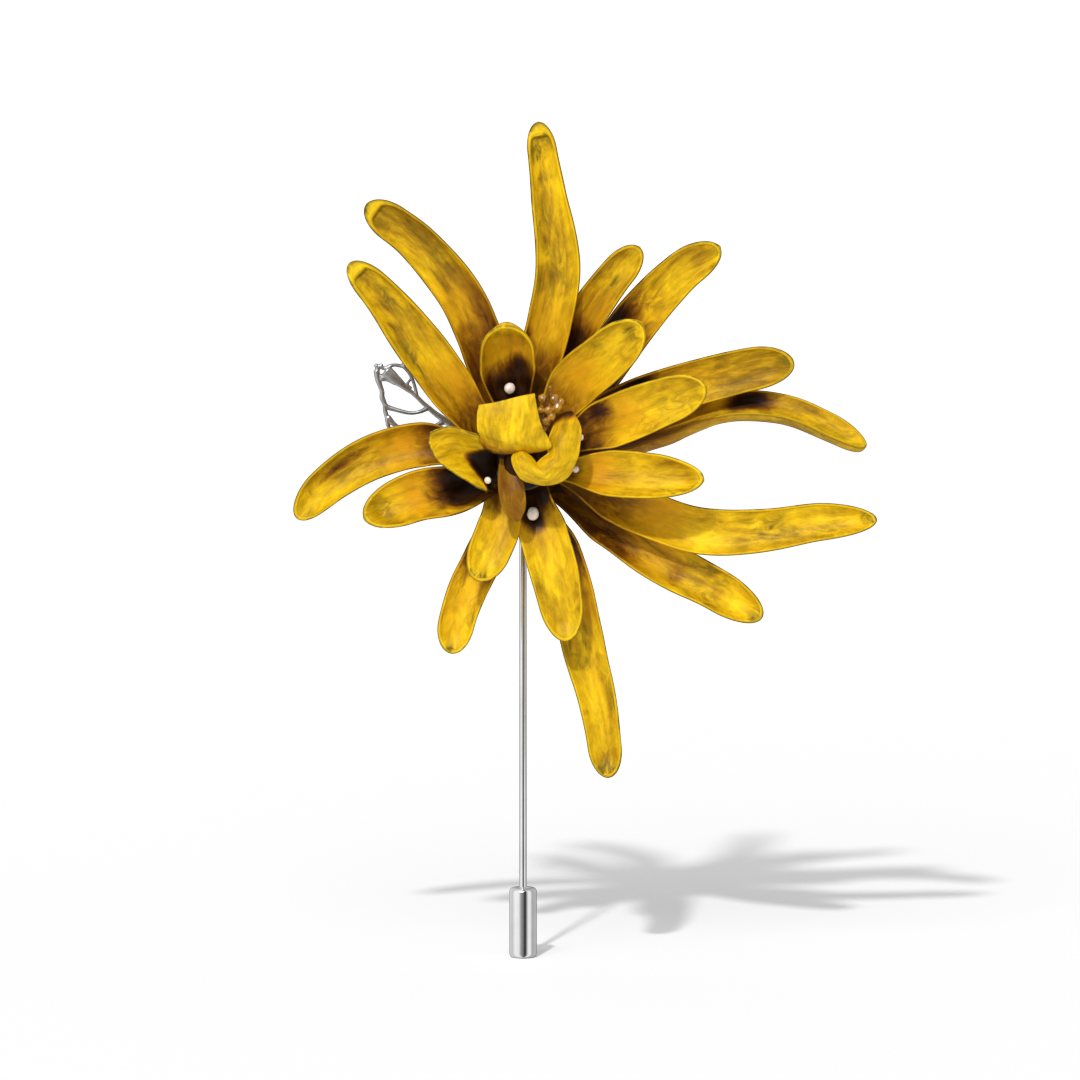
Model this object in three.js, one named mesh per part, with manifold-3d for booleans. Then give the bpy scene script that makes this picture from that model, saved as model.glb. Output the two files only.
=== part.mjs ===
// A lapel stick pin: a painted metal chrysanthemum on a straight wire, with a clutch on the wire's point.
// Millimetres, +Z up. The flower faces -Y, and the origin is the centre of the flat rear face.
import * as THREE from 'three';
import { mergeVertices } from 'three/addons/utils/BufferGeometryUtils.js';
import Module from 'manifold-3d';

const wasm = await Module();
wasm.setup();

// Clearance between pieces that are brazed, glued or pressed to each other
const SEAT_GAP = 0.3;

// Sides of the round pieces
const PLATE_SIDES = 48;
const CLUTCH_SIDES = 32;
const WIRE_SIDES = 16;

// Back plate: the disc that lies against the lapel, drilled from below for the wire
const PLATE_RADIUS = 8;
const PLATE_THICKNESS = 3;
const PLATE_BEVEL = 0.5;
const WIRE_HOLE_RADIUS = 0.8;
const WIRE_HOLE_DEPTH = 5;

// Boss: the cone in front of the plate that carries the petals
const BOSS_BACK = -PLATE_THICKNESS - SEAT_GAP;
const BOSS_FRONT = -13.3;
const BOSS_BACK_RADIUS = 7.6;
const BOSS_FRONT_RADIUS = 4.2;

// Wire: the straight pin, ground to a point at its lower end
const WIRE_RADIUS = 0.5;
const WIRE_DEPTH = -PLATE_THICKNESS / 2;
const WIRE_TIP = -71.2;
const WIRE_POINT_LENGTH = 4;
const WIRE_TOP = -PLATE_RADIUS + WIRE_HOLE_DEPTH - SEAT_GAP;

// Clutch: a barrel closed at the bottom, with a rolled lip and a grip sleeve inside
const CLUTCH_BOTTOM = -72.9;
const CLUTCH_LENGTH = 10.05;
const CLUTCH_RADIUS = 1.94;
const CLUTCH_BORE_RADIUS = 1.5;
const CLUTCH_FLOOR = 1.2;
const CLUTCH_LIP_THICKNESS = 0.6;
const CLUTCH_LIP_RADIUS = 0.8;
const CLUTCH_BEVEL = 0.35;
const GRIP_RADIUS = 1.25;
const GRIP_BORE_RADIUS = 0.6;

// Petals: troughs of painted metal, the same sheet for all
const PETAL_SHEET = 0.75;
const PETAL_RIM = 0.6;

// Petal outline: a neck at the root, a full middle, a slimmer end and a round tip. Shares are of the
// greatest half width, the neck is in millimetres and the tip's length is in half widths.
const PETAL_OUTLINE = { rootShare: 0.6, neck: 8, tipShare: 0.85, tipLength: 1.5 };
const WIDEST_AT = 0.45;

// Beads in the roots of some petals
const BEAD_RADIUS = 1.1;

// Heart: the core that its four petals grow from
const HEART_CORE_RADIUS = 2.8;
const HEART_CORE_BACK = BOSS_FRONT - SEAT_GAP;
const HEART_CORE_FRONT = -17;
const HEART_CORE_BEVEL = 1;

// Stamens: a stalk with a cluster of small balls
const STAMEN_BALL_RADIUS = 0.85;
const STAMEN_STALK_RADIUS = 0.5;
const STAMEN_ROOT = [2.2, BOSS_FRONT - 2 * SEAT_GAP, 3.5];
const STAMEN_BALLS = [[3.6, -15.4, 7.4], [4.6, -16, 7.9], [5.4, -15.8, 8.9], [4.3, -15.3, 9.2],
  [3.5, -15.2, 8.7], [5.4, -15, 7.4], [3.2, -14.6, 6.3]];

// Leaf: openwork cut from one flat sheet, behind the left petals
const LEAF_THICKNESS = 0.9;
const LEAF_BACK = -1.3;
const LEAF_STALK_END = [-PLATE_RADIUS - SEAT_GAP, 2.6];
const LEAF_STALK_HALF_WIDTH = 0.55;
const LEAF_OUTLINE = [[-10.6, 4.2], [-11.5, 6.0], [-13.6, 7.4], [-15.2, 9.0], [-15.9, 10.9], [-16.8, 12.4],
  [-18.1, 12.4], [-19.2, 12.2], [-21.1, 12.4], [-20.8, 10.8], [-20.1, 8.6], [-19.6, 6.6], [-19.1, 3.6],
  [-17.9, 1.4], [-15.8, 0.1], [-13.2, 0.4], [-11.2, 2.2]];
const LEAF_HOLES = [
  [[-19.4, 11.5], [-18.2, 11.7], [-17.1, 11.7], [-16.6, 10.6], [-16.1, 9.3], [-17.4, 10.0], [-18.6, 10.9]],
  [[-19.6, 9.9], [-18.2, 9.3], [-16.6, 8.5], [-14.9, 7.3], [-14.1, 6.4], [-16.0, 5.7], [-17.9, 6.2],
    [-19.3, 7.2]],
  [[-19.0, 5.5], [-17.4, 5.0], [-15.6, 4.9], [-13.6, 5.4], [-12.0, 4.2], [-11.6, 3.0], [-13.4, 1.3],
    [-15.7, 1.1], [-17.3, 2.1], [-18.4, 3.7]],
];

// Finishes
const yellowPaint = { color: 0xe6b80f, roughness: 0.42, metalness: 0.1 };
const silverMetal = { color: 0xb9bcc0, roughness: 0.25, metalness: 1 };
const chromeMetal = { color: 0xd6d8dc, roughness: 0.1, metalness: 1 };
const darkPaint = { color: 0x3a2408, roughness: 0.6, metalness: 0.1 };
const goldMetal = { color: 0xb8862a, roughness: 0.2, metalness: 1 };
const pearl = { color: 0xefe6da, roughness: 0.2, metalness: 0 };
const siliconeGrip = { color: 0xdadad4, roughness: 0.7, metalness: 0 };

// Long outer petals, clockwise from the top. A row gives the root's angle and depth on the boss, the
// middle of the open side from there to the tip, the greatest half width, the depth of the trough, and
// the turn about the petal's own length at the root and at the tip.
const OUTER_PETALS = [
  { angle: 88, seat: -8.6, points: [[3.9, -9.8, 19.8], [5.0, -10, 28.2], [3.6, -9.5, 37.9],
    [2.1, -9, 48.0]],
    halfWidth: 3.2, depth: 2.6, turn: [0, 0], tipShare: 0.66, tipLength: 1.2 },
  { angle: 66, seat: -6.1, points: [[6.9, -7, 16.7], [9.9, -8.2, 21.6], [13.1, -9, 26.0],
    [16.6, -9, 30.1]],
    halfWidth: 2.8, depth: 2, turn: [0, 0], rootShare: 0.5 },
  { angle: 40, seat: -5.3, points: [[12.8, -5.6, 14.7], [18.3, -6.6, 22.0], [23.1, -7.8, 26.8],
    [28.0, -8.5, 30.1]],
    halfWidth: 3.4, depth: 1.9, turn: [0, 0], rootShare: 0.5, tipShare: 0.78 },
  { angle: 24, seat: -8.2, points: [[16.7, -9, 8.2], [25.3, -9.5, 10.9], [32.4, -9.5, 12.7],
    [38.6, -9.5, 13.6]],
    halfWidth: 3.3, depth: 2.2, turn: [0, 0], tipShare: 0.92, tipLength: 1.8 },
  { angle: 3, seat: -5.7, points: [[19.6, -8.5, 4.2], [28.1, -9, 7.6], [36.7, -9, 7.3], [43.9, -9, 4.6],
    [48.9, -9, 1.6]],
    halfWidth: 3.1, depth: 2.6, turn: [-70, -55], tipShare: 0.8, tipLength: 2 },
  { angle: -20, seat: -8.2, points: [[16.7, -9, -7.7], [25.3, -10, -10.4], [33.9, -10, -10.4],
    [42.4, -10, -9.1], [50.4, -10, -8.9]],
    halfWidth: 3.3, depth: 2.5, turn: [0, -15], tipShare: 0.75, tipLength: 2.6 },
  { angle: -43, seat: -5.7, points: [[12.4, -6.8, -9.9], [19.6, -8, -14.8], [27.4, -9, -18.9],
    [34.1, -9, -23.0]],
    halfWidth: 3.3, depth: 2.4, turn: [-15, -10], tipShare: 0.85, tipLength: 2 },
  { angle: -74, seat: -8.2, points: [[6.1, -8, -16.4], [8.3, -8.5, -25.6], [10.7, -9, -35.6],
    [12.3, -9, -46.0]],
    halfWidth: 3.1, depth: 2.3, turn: [0, 0], tipShare: 0.74, tipLength: 1.4 },
  { angle: -112, seat: -5.7, points: [[-5.4, -7, -14.0], [-7.9, -8, -19.2], [-9.4, -8.5, -23.7],
    [-10.3, -8.5, -28.2]],
    halfWidth: 2.8, depth: 2.2, turn: [0, 0], tipShare: 0.9 },
  { angle: 177, seat: -8.2, points: [[-14.0, -9, 1.9], [-21.1, -9.5, 0.2], [-27.6, -10, -3.7],
    [-32.3, -9.5, -8.6]],
    halfWidth: 3.2, depth: 2.5, turn: [0, 0], tipShare: 0.78, tipLength: 1.4 },
  { angle: 138, seat: -8.2, points: [[-9.4, -9.4, 10.6], [-15.5, -10, 17.8], [-20.8, -10, 24.0],
    [-24.7, -10, 27.9]],
    halfWidth: 3.5, depth: 2.6, turn: [25, 0], tipShare: 0.62, tipLength: 1.2 },
  { angle: 114, seat: -5.7, points: [[-6.3, -6.6, 17.4], [-9.7, -7, 24.2], [-15.0, -7, 30.4],
    [-22.3, -7, 36.0]],
    halfWidth: 3.2, depth: 2.3, turn: [0, 0], tipShare: 0.8, tipLength: 1.4 },
];

// Shorter inner petals, clockwise from the cup above the heart, given in the same way. A bead gives the
// share of the petal's length where it sits, and how far its centre is to one side of the petal's middle
// and over the open side.
const INNER_PETALS = [
  { angle: 101, seat: -10.9, points: [[-2.1, -13, 12.0], [-2.3, -15.5, 16.4], [-2.4, -16.5, 19.8]],
    halfWidth: 4.0, depth: 3.0, turn: [0, 0], tipShare: 0.95, tipLength: 1,
    bead: { along: 0.32, side: 0, height: -0.4 } },
  { angle: 55, seat: -10.9, points: [[7.4, -13, 11.0], [11.7, -16, 15.2], [16.9, -18, 20.1]],
    halfWidth: 3.7, depth: 2.4, turn: [0, 0], tipShare: 0.9 },
  { angle: 19, seat: -10.9, points: [[11.0, -13.5, 4.9], [18.1, -16.5, 8.2], [26.0, -18, 11.3]],
    halfWidth: 3.7, depth: 2.4, turn: [0, 0], rootShare: 0.48,
    bead: { along: 0.14, side: 0, height: 0.7 } },
  { angle: -14, seat: -10.9, points: [[9.6, -13.5, -1.5], [17.4, -16, -1.8], [25.7, -17, -2.2]],
    halfWidth: 3.4, depth: 2.6, turn: [-20, -15], rootShare: 0.52,
    bead: { along: 0.12, side: 0, height: 0.8 } },
  { angle: -77, seat: -10.9, points: [[3.2, -13, -11.4], [4.9, -14, -17.7], [6.3, -14, -25.8]],
    halfWidth: 3.5, depth: 2.3, turn: [0, 0], neck: 5, tipShare: 0.8,
    bead: { along: 0.1, side: 0.5, height: 0.8 } },
  { angle: -119, seat: -10.9, points: [[-3.3, -12.5, -9.2], [-4.9, -14, -13.2], [-6.6, -15, -17.0]],
    halfWidth: 3.1, depth: 2.2, turn: [0, 0], neck: 5, tipShare: 0.95 },
  { angle: 205, seat: -10.9, points: [[-9.0, -13, -3.9], [-15.4, -15.5, -4.9], [-22.6, -17, -7.7]],
    halfWidth: 3.7, depth: 2.7, turn: [20, 15] },
];

// Petals of the heart, rooted in its core. The first folds up in front of it, and its row fixes the
// direction across the petal at the fold and at the end. The second lies round it with its back to the
// viewer. The last two open towards the viewer.
const HEART_PETALS = [
  { points: [[-0.5, -15.2, 1.2], [-1.0, -18.4, 0.5], [-1.4, -21.0, 2.0], [-1.8, -21.8, 5.2],
    [-2.5, -20.8, 10.0]],
    across: [[-0.95, 0, 0.3], [-0.98, 0, -0.2]], halfWidth: 4.6, depth: 1.3, turn: [0, 0], rootShare: 0.75,
    tipLength: 0.22, tipShare: 0.92 },
  { points: [[1.8, -15.6, 1.2], [5.3, -17.0, 4.7], [6.8, -18.8, 3.6], [6.2, -20.0, 1.2], [4.3, -20.8, -0.7],
    [1.6, -21.1, -1.0], [-1.2, -20.9, 1.3]],
    halfWidth: 2.2, depth: 1.4, turn: [180, 180], rootShare: 0.7, tipLength: 1, tipShare: 0.75 },
  { points: [[-1.2, -15.8, -1.2], [-5.4, -16.6, -0.4], [-9.4, -17.8, 1.7], [-13.3, -18.2, 3.3]],
    halfWidth: 3.4, depth: 2.2, turn: [10, 15], rootShare: 0.75, tipLength: 1, tipShare: 0.9,
    bead: { along: 0.24, side: -1.3, height: 0.8 } },
  { points: [[-0.3, -15.4, -0.6], [-1.1, -15.9, -3.4], [-1.4, -16.1, -5.8], [-1.4, -15.9, -7.9]],
    halfWidth: 1.9, depth: 1.2, turn: [0, 0], tipLength: 1.1, tipShare: 0.9 },
];

const TOWARDS_VIEWER = new THREE.Vector3(0, -1, 0);

// Steps of the petal mesh. The tip ends at a small angle short of a point, and there the sheet and the
// rim thin down to shares of what is left.
const BODY_STATIONS = 8;
const TIP_STATIONS = 5;
const TIP_END_ANGLE = 84;
const LONGEST_TIP_SHARE = 0.5;
const HALF_SECTION_STEPS = 3;
const THINNEST_RIM_SHARE = 0.45;
const THINNEST_SHEET_SHARE = 0.75;

// Steps of the small pieces
const BEAD_STEPS = [12, 8];
const STAMEN_BALL_STEPS = [8, 6];
const STAMEN_STALK_STEPS = 8;
const LEAF_EDGE_STEPS = 54;
const LEAF_HOLE_STEPS = 24;
const MERGE_DISTANCE = 1e-4;

function smoothstep(value) {
  const x = Math.min(Math.max(value, 0), 1);
  return x * x * (3 - 2 * x);
}

// Share of the greatest half width at a place before the tip
function widthShare(along, length, outline) {
  const neck = smoothstep(along * length / outline.neck);
  const narrowing = smoothstep((along - WIDEST_AT) / (1 - WIDEST_AT));
  const neckShare = THREE.MathUtils.lerp(outline.rootShare, 1, neck);
  return neckShare * THREE.MathUtils.lerp(1, outline.tipShare, narrowing);
}

// Places along a petal's curve, closer together round the tip, each with its share of the half width
function petalStations(length, halfWidth, outline) {
  const tipStart = 1 - Math.min(outline.tipLength * halfWidth / length, LONGEST_TIP_SHARE);
  const stations = [];
  for (let i = 0; i < BODY_STATIONS; i += 1) {
    const along = tipStart * i / BODY_STATIONS;
    stations.push({ along, width: widthShare(along, length, outline) });
  }
  for (let i = 0; i <= TIP_STATIONS; i += 1) {
    const angle = THREE.MathUtils.degToRad(TIP_END_ANGLE * i / TIP_STATIONS);
    const along = tipStart + (1 - tipStart) * Math.sin(angle);
    stations.push({ along, width: widthShare(along, length, outline) * Math.cos(angle) });
  }
  return stations;
}

// Axes of the section at one place on a petal: across the trough, and out of its open side
function petalFrame(petal, curve, along) {
  const tangent = curve.getTangentAt(along);
  const open = new THREE.Vector3();
  if (petal.across) {
    const [first, last] = petal.across.map((direction) => new THREE.Vector3(...direction));
    open.crossVectors(first.lerp(last, along), tangent).normalize();
  } else {
    open.copy(TOWARDS_VIEWER).addScaledVector(tangent, -TOWARDS_VIEWER.dot(tangent)).normalize();
  }
  const degrees = THREE.MathUtils.lerp(petal.turn[0], petal.turn[1], along);
  open.applyAxisAngle(tangent, THREE.MathUtils.degToRad(degrees));
  const across = new THREE.Vector3().crossVectors(tangent, open);
  return { centre: curve.getPointAt(along), across, open };
}

// One ring of points: the outer wall from rim to rim, then the inner wall back
function troughRing(frame, outerWidth, outerDepth) {
  const innerWidth = outerWidth - Math.min(PETAL_RIM, THINNEST_RIM_SHARE * outerWidth);
  const innerDepth = outerDepth - Math.min(PETAL_SHEET, THINNEST_SHEET_SHARE * outerDepth);
  const ring = [];
  const addPoint = (side, width, depth) => {
    const point = frame.centre.clone();
    point.addScaledVector(frame.across, side * width);
    point.addScaledVector(frame.open, -depth * (1 - side * side));
    ring.push(point);
  };
  for (let i = -HALF_SECTION_STEPS; i <= HALF_SECTION_STEPS; i += 1) {
    addPoint(Math.sin(Math.PI / 2 * i / HALF_SECTION_STEPS), outerWidth, outerDepth);
  }
  for (let i = HALF_SECTION_STEPS; i >= -HALF_SECTION_STEPS; i -= 1) {
    addPoint(Math.sin(Math.PI / 2 * i / HALF_SECTION_STEPS), innerWidth, innerDepth);
  }
  return ring;
}

// Closed skin over a row of rings that all have the same number of points
function skinRings(rings) {
  const count = rings[0].length;
  const positions = rings.flat().flatMap((point) => point.toArray());
  const index = [];
  for (let r = 0; r < rings.length - 1; r += 1) {
    for (let i = 0; i < count; i += 1) {
      const a = r * count + i;
      const b = r * count + (i + 1) % count;
      index.push(a, a + count, b + count, a, b + count, b);
    }
  }
  const last = (rings.length - 1) * count;
  for (let i = 0; i < count / 2 - 1; i += 1) {
    const far = count - 1 - i;
    index.push(i, i + 1, far - 1, i, far - 1, far);
    index.push(last + i, last + far - 1, last + i + 1, last + i, last + far, last + far - 1);
  }
  const geometry = new THREE.BufferGeometry();
  geometry.setAttribute('position', new THREE.Float32BufferAttribute(positions, 3));
  geometry.setIndex(index);
  geometry.computeVertexNormals();
  return geometry;
}

function smoothCurve(points) {
  const places = points.map((point) => new THREE.Vector3(...point));
  return new THREE.CatmullRomCurve3(places, false, 'centripetal');
}

// A petal: the trough swept from root to tip
function petalGeometry(petal, curve) {
  const stations = petalStations(curve.getLength(), petal.halfWidth, { ...PETAL_OUTLINE, ...petal });
  const rings = stations.map(({ along, width }) => {
    const outerDepth = Math.max(petal.depth * Math.sqrt(width), PETAL_SHEET);
    return troughRing(petalFrame(petal, curve, along), petal.halfWidth * width, outerDepth);
  });
  return skinRings(rings);
}

function bossRadiusAt(depth) {
  const share = (depth - BOSS_BACK) / (BOSS_FRONT - BOSS_BACK);
  return THREE.MathUtils.lerp(BOSS_BACK_RADIUS, BOSS_FRONT_RADIUS, share);
}

// The curve of a petal that stands on the boss, from its seat outwards
function seatedCurve(petal) {
  const angle = THREE.MathUtils.degToRad(petal.angle);
  const radius = bossRadiusAt(petal.seat + petal.depth) + SEAT_GAP;
  const seat = [radius * Math.cos(angle), petal.seat, radius * Math.sin(angle)];
  return smoothCurve([seat, ...petal.points]);
}

// Turns a closed geometry into a solid for joining and cutting
function toSolid(geometry) {
  const bare = geometry.clone();
  bare.deleteAttribute('normal');
  bare.deleteAttribute('uv');
  const merged = mergeVertices(bare, MERGE_DISTANCE);
  const mesh = new wasm.Mesh({
    numProp: 3,
    vertProperties: new Float32Array(merged.attributes.position.array),
    triVerts: new Uint32Array(merged.index.array),
  });
  mesh.merge();
  return new wasm.Manifold(mesh);
}

function toGeometry(solid) {
  const mesh = solid.getMesh();
  const geometry = new THREE.BufferGeometry();
  geometry.setAttribute('position', new THREE.BufferAttribute(mesh.vertProperties, 3));
  geometry.setIndex(new THREE.BufferAttribute(mesh.triVerts, 1));
  geometry.computeVertexNormals();
  return geometry;
}

// A round piece turned about an axis along Y, from radius and place pairs
function turnedAlongY(profile, segments) {
  return new THREE.LatheGeometry(profile.map(([radius, y]) => new THREE.Vector2(radius, y)), segments);
}

// The same about an upright axis, moved to the wire's axis
function turnedOnWire(profile, segments) {
  const geometry = turnedAlongY(profile, segments);
  geometry.rotateX(Math.PI / 2);
  geometry.translate(0, WIRE_DEPTH, 0);
  return geometry;
}

function backPlateGeometry() {
  const disc = turnedAlongY([
    [0, -PLATE_THICKNESS],
    [PLATE_RADIUS - PLATE_BEVEL, -PLATE_THICKNESS],
    [PLATE_RADIUS, -PLATE_THICKNESS + PLATE_BEVEL],
    [PLATE_RADIUS, -PLATE_BEVEL],
    [PLATE_RADIUS - PLATE_BEVEL, 0],
    [0, 0],
  ], PLATE_SIDES);
  const drillEnd = -PLATE_RADIUS + WIRE_HOLE_DEPTH;
  const drill = turnedOnWire([
    [0, drillEnd - 2 * WIRE_HOLE_DEPTH],
    [WIRE_HOLE_RADIUS, drillEnd - 2 * WIRE_HOLE_DEPTH],
    [WIRE_HOLE_RADIUS, drillEnd],
    [0, drillEnd],
  ], WIRE_SIDES);
  return toGeometry(toSolid(disc).subtract(toSolid(drill)));
}

function petalBossGeometry() {
  return turnedAlongY([
    [0, BOSS_FRONT],
    [BOSS_FRONT_RADIUS, BOSS_FRONT],
    [BOSS_BACK_RADIUS, BOSS_BACK],
    [0, BOSS_BACK],
  ], PLATE_SIDES);
}

function heartGeometry() {
  const core = turnedAlongY([
    [0, HEART_CORE_FRONT],
    [HEART_CORE_RADIUS - HEART_CORE_BEVEL, HEART_CORE_FRONT],
    [HEART_CORE_RADIUS, HEART_CORE_FRONT + HEART_CORE_BEVEL],
    [HEART_CORE_RADIUS, HEART_CORE_BACK],
    [0, HEART_CORE_BACK],
  ], CLUTCH_SIDES);
  let heart = toSolid(core);
  for (const petal of HEART_PETALS) {
    heart = heart.add(toSolid(petalGeometry(petal, smoothCurve(petal.points))));
  }
  return toGeometry(heart);
}

function beadGeometry(petal, curve) {
  const frame = petalFrame(petal, curve, petal.bead.along);
  const centre = frame.centre.addScaledVector(frame.across, petal.bead.side)
    .addScaledVector(frame.open, petal.bead.height);
  return new THREE.SphereGeometry(BEAD_RADIUS, ...BEAD_STEPS).translate(centre.x, centre.y, centre.z);
}

function wireGeometry() {
  return turnedOnWire([
    [0, WIRE_TIP],
    [WIRE_RADIUS, WIRE_TIP + WIRE_POINT_LENGTH],
    [WIRE_RADIUS, WIRE_TOP],
    [0, WIRE_TOP],
  ], WIRE_SIDES);
}

function clutchBarrelGeometry() {
  const top = CLUTCH_BOTTOM + CLUTCH_LENGTH;
  const underLip = top - CLUTCH_LIP_THICKNESS;
  return turnedOnWire([
    [0, CLUTCH_BOTTOM],
    [CLUTCH_RADIUS - CLUTCH_BEVEL, CLUTCH_BOTTOM],
    [CLUTCH_RADIUS, CLUTCH_BOTTOM + CLUTCH_BEVEL],
    [CLUTCH_RADIUS, top - CLUTCH_BEVEL],
    [CLUTCH_RADIUS - CLUTCH_BEVEL, top],
    [CLUTCH_LIP_RADIUS, top],
    [CLUTCH_LIP_RADIUS, underLip],
    [CLUTCH_BORE_RADIUS, underLip],
    [CLUTCH_BORE_RADIUS, CLUTCH_BOTTOM + CLUTCH_FLOOR],
    [0, CLUTCH_BOTTOM + CLUTCH_FLOOR],
  ], CLUTCH_SIDES);
}

function clutchGripGeometry() {
  const low = CLUTCH_BOTTOM + CLUTCH_FLOOR + SEAT_GAP;
  const high = CLUTCH_BOTTOM + CLUTCH_LENGTH - CLUTCH_LIP_THICKNESS - SEAT_GAP;
  return turnedOnWire([
    [GRIP_BORE_RADIUS, low],
    [GRIP_RADIUS, low],
    [GRIP_RADIUS, high],
    [GRIP_BORE_RADIUS, high],
    [GRIP_BORE_RADIUS, low],
  ], WIRE_SIDES);
}

// A cluster of balls on a stalk that rises from the boss beside the heart
function stamensGeometry() {
  const stalkCurve = smoothCurve([STAMEN_ROOT, STAMEN_BALLS.at(-1), STAMEN_BALLS[1]]);
  const section = new THREE.Shape().absarc(0, 0, STAMEN_STALK_RADIUS, 0, 2 * Math.PI);
  const stalk = new THREE.ExtrudeGeometry(section, {
    steps: STAMEN_STALK_STEPS,
    curveSegments: STAMEN_STALK_STEPS,
    extrudePath: stalkCurve,
  });
  let cluster = toSolid(stalk);
  for (const centre of STAMEN_BALLS) {
    const ball = new THREE.SphereGeometry(STAMEN_BALL_RADIUS, ...STAMEN_BALL_STEPS);
    ball.translate(...centre);
    cluster = cluster.add(toSolid(ball));
  }
  return toGeometry(cluster);
}

// The openwork leaf and its stalk, cut from one sheet
function leafGeometry() {
  const toPoints = (places) => places.map(([x, z]) => new THREE.Vector2(x, z));
  const stalkRoot = [
    [LEAF_STALK_END[0], LEAF_STALK_END[1] - LEAF_STALK_HALF_WIDTH],
    [LEAF_STALK_END[0], LEAF_STALK_END[1] + LEAF_STALK_HALF_WIDTH],
  ];
  const edge = new THREE.SplineCurve(toPoints([stalkRoot[1], ...LEAF_OUTLINE, stalkRoot[0]]));
  const sheet = new THREE.Shape(edge.getPoints(LEAF_EDGE_STEPS));
  for (const hole of LEAF_HOLES) {
    const rim = new THREE.SplineCurve(toPoints([...hole, hole[0]]));
    sheet.holes.push(new THREE.Path(rim.getPoints(LEAF_HOLE_STEPS)));
  }
  const geometry = new THREE.ExtrudeGeometry(sheet, { depth: LEAF_THICKNESS, bevelEnabled: false });
  geometry.rotateX(Math.PI / 2);
  geometry.translate(0, LEAF_BACK, 0);
  return geometry;
}

// Adds each piece to the flower under its own name
const stickPin = new THREE.Group();

function addPiece(name, geometry, finish) {
  const mesh = new THREE.Mesh(geometry, new THREE.MeshStandardMaterial(finish));
  mesh.name = name;
  stickPin.add(mesh);
}

function twoDigits(number) {
  return String(number).padStart(2, '0');
}

addPiece('back_plate', backPlateGeometry(), silverMetal);
addPiece('petal_boss', petalBossGeometry(), darkPaint);
addPiece('pin_wire', wireGeometry(), chromeMetal);
addPiece('clutch_barrel', clutchBarrelGeometry(), chromeMetal);
addPiece('clutch_grip', clutchGripGeometry(), siliconeGrip);
addPiece('heart', heartGeometry(), yellowPaint);
addPiece('stamens', stamensGeometry(), goldMetal);
addPiece('openwork_leaf', leafGeometry(), silverMetal);

OUTER_PETALS.forEach((petal, i) => {
  addPiece(`outer_petal_${twoDigits(i + 1)}`, petalGeometry(petal, seatedCurve(petal)), yellowPaint);
});

INNER_PETALS.forEach((petal, i) => {
  addPiece(`inner_petal_${twoDigits(i + 1)}`, petalGeometry(petal, seatedCurve(petal)), yellowPaint);
});

const seatedBeads = INNER_PETALS.filter((petal) => petal.bead)
  .map((petal) => beadGeometry(petal, seatedCurve(petal)));
const heartBeads = HEART_PETALS.filter((petal) => petal.bead)
  .map((petal) => beadGeometry(petal, smoothCurve(petal.points)));
[...seatedBeads, ...heartBeads].forEach((bead, i) => {
  addPiece(`pearl_bead_${i + 1}`, bead, pearl);
});

export default stickPin;
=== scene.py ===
"""A lapel stick pin with a hand-painted yellow chrysanthemum, dressed over its CAD model.

Tables are in millimetres, in the frame of the part: +Z up, the flower faces -Y, and the origin is the
centre of the flat rear face. A mesh becomes metres where it is made.
"""
import math

import bmesh
import bpy
import numpy as np
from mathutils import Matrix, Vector, noise
from numpy.linalg import norm


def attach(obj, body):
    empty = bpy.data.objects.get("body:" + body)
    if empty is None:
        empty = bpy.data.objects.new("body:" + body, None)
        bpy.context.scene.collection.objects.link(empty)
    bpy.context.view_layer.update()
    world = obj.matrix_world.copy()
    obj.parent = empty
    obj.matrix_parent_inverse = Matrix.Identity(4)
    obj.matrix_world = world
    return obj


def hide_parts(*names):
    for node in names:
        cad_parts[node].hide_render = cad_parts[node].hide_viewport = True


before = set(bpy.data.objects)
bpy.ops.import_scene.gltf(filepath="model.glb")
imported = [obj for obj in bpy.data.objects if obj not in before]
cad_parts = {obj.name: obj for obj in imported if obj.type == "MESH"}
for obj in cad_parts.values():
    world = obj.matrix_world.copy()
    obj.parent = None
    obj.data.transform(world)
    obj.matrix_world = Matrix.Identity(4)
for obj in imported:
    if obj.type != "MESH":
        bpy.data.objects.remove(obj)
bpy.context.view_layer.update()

MM = 0.001

# Camera: far away, seven degrees above the flower's axis
CAMERA_ELEVATION = math.radians(7)
CAMERA_DISTANCE = 3.6
CAMERA_TARGET = (2.43, 0, -12.96)
SENSOR_WIDTH = 36
LENS = 840

# Round pieces, as in the part's source
PLATE_RADIUS, PLATE_THICKNESS, PLATE_BEVEL = 8, 3, 0.5
SEAT_GAP = 0.3
BOSS_BACK, BOSS_FRONT, BOSS_IN_PLATE = -3.3, -13.3, -2.9
BOSS_BACK_RADIUS, BOSS_FRONT_RADIUS = 7.6, 4.2
WIRE_RADIUS, WIRE_TOP, WIRE_TIP, WIRE_POINT_LENGTH = 0.5, -3.3, -71.2, 4
ON_WIRE = (0, -1.5, 0)
CLUTCH_BOTTOM, CLUTCH_LENGTH, CLUTCH_RADIUS, CLUTCH_BORE_RADIUS = -72.9, 10.05, 1.94, 1.5
CLUTCH_FLOOR, CLUTCH_LIP_THICKNESS, CLUTCH_LIP_RADIUS = 1.2, 0.6, 0.58
HEART_CORE_RADIUS, HEART_CORE_FRONT, HEART_CORE_BEVEL = 2.8, -17, 1.4

# Petals: sheet as in the part's source. The root sinks into the boss. The trough of the dressed petal
# is shallower than its back, and ends a little before the petal does, so its rim goes round the tip.
PETAL_SHEET = 0.75
PETAL_RIM = 0.36
ROOT_SINK = 1.8
WIDEST_AT = 0.45
PETAL_DEFAULTS = dict(root_share=0.6, neck=8, tip=(0.85, 1.5), turn=(0, 0), hollow=0.62,
                      lip=0.6, hood=1.0, dark=(3, 9, 0.9), olive=0.35, glow=0, ridges=(), bowl=2.6,
                      dark_at=(), olive_at=(), warm_at=(), glow_at=())

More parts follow.
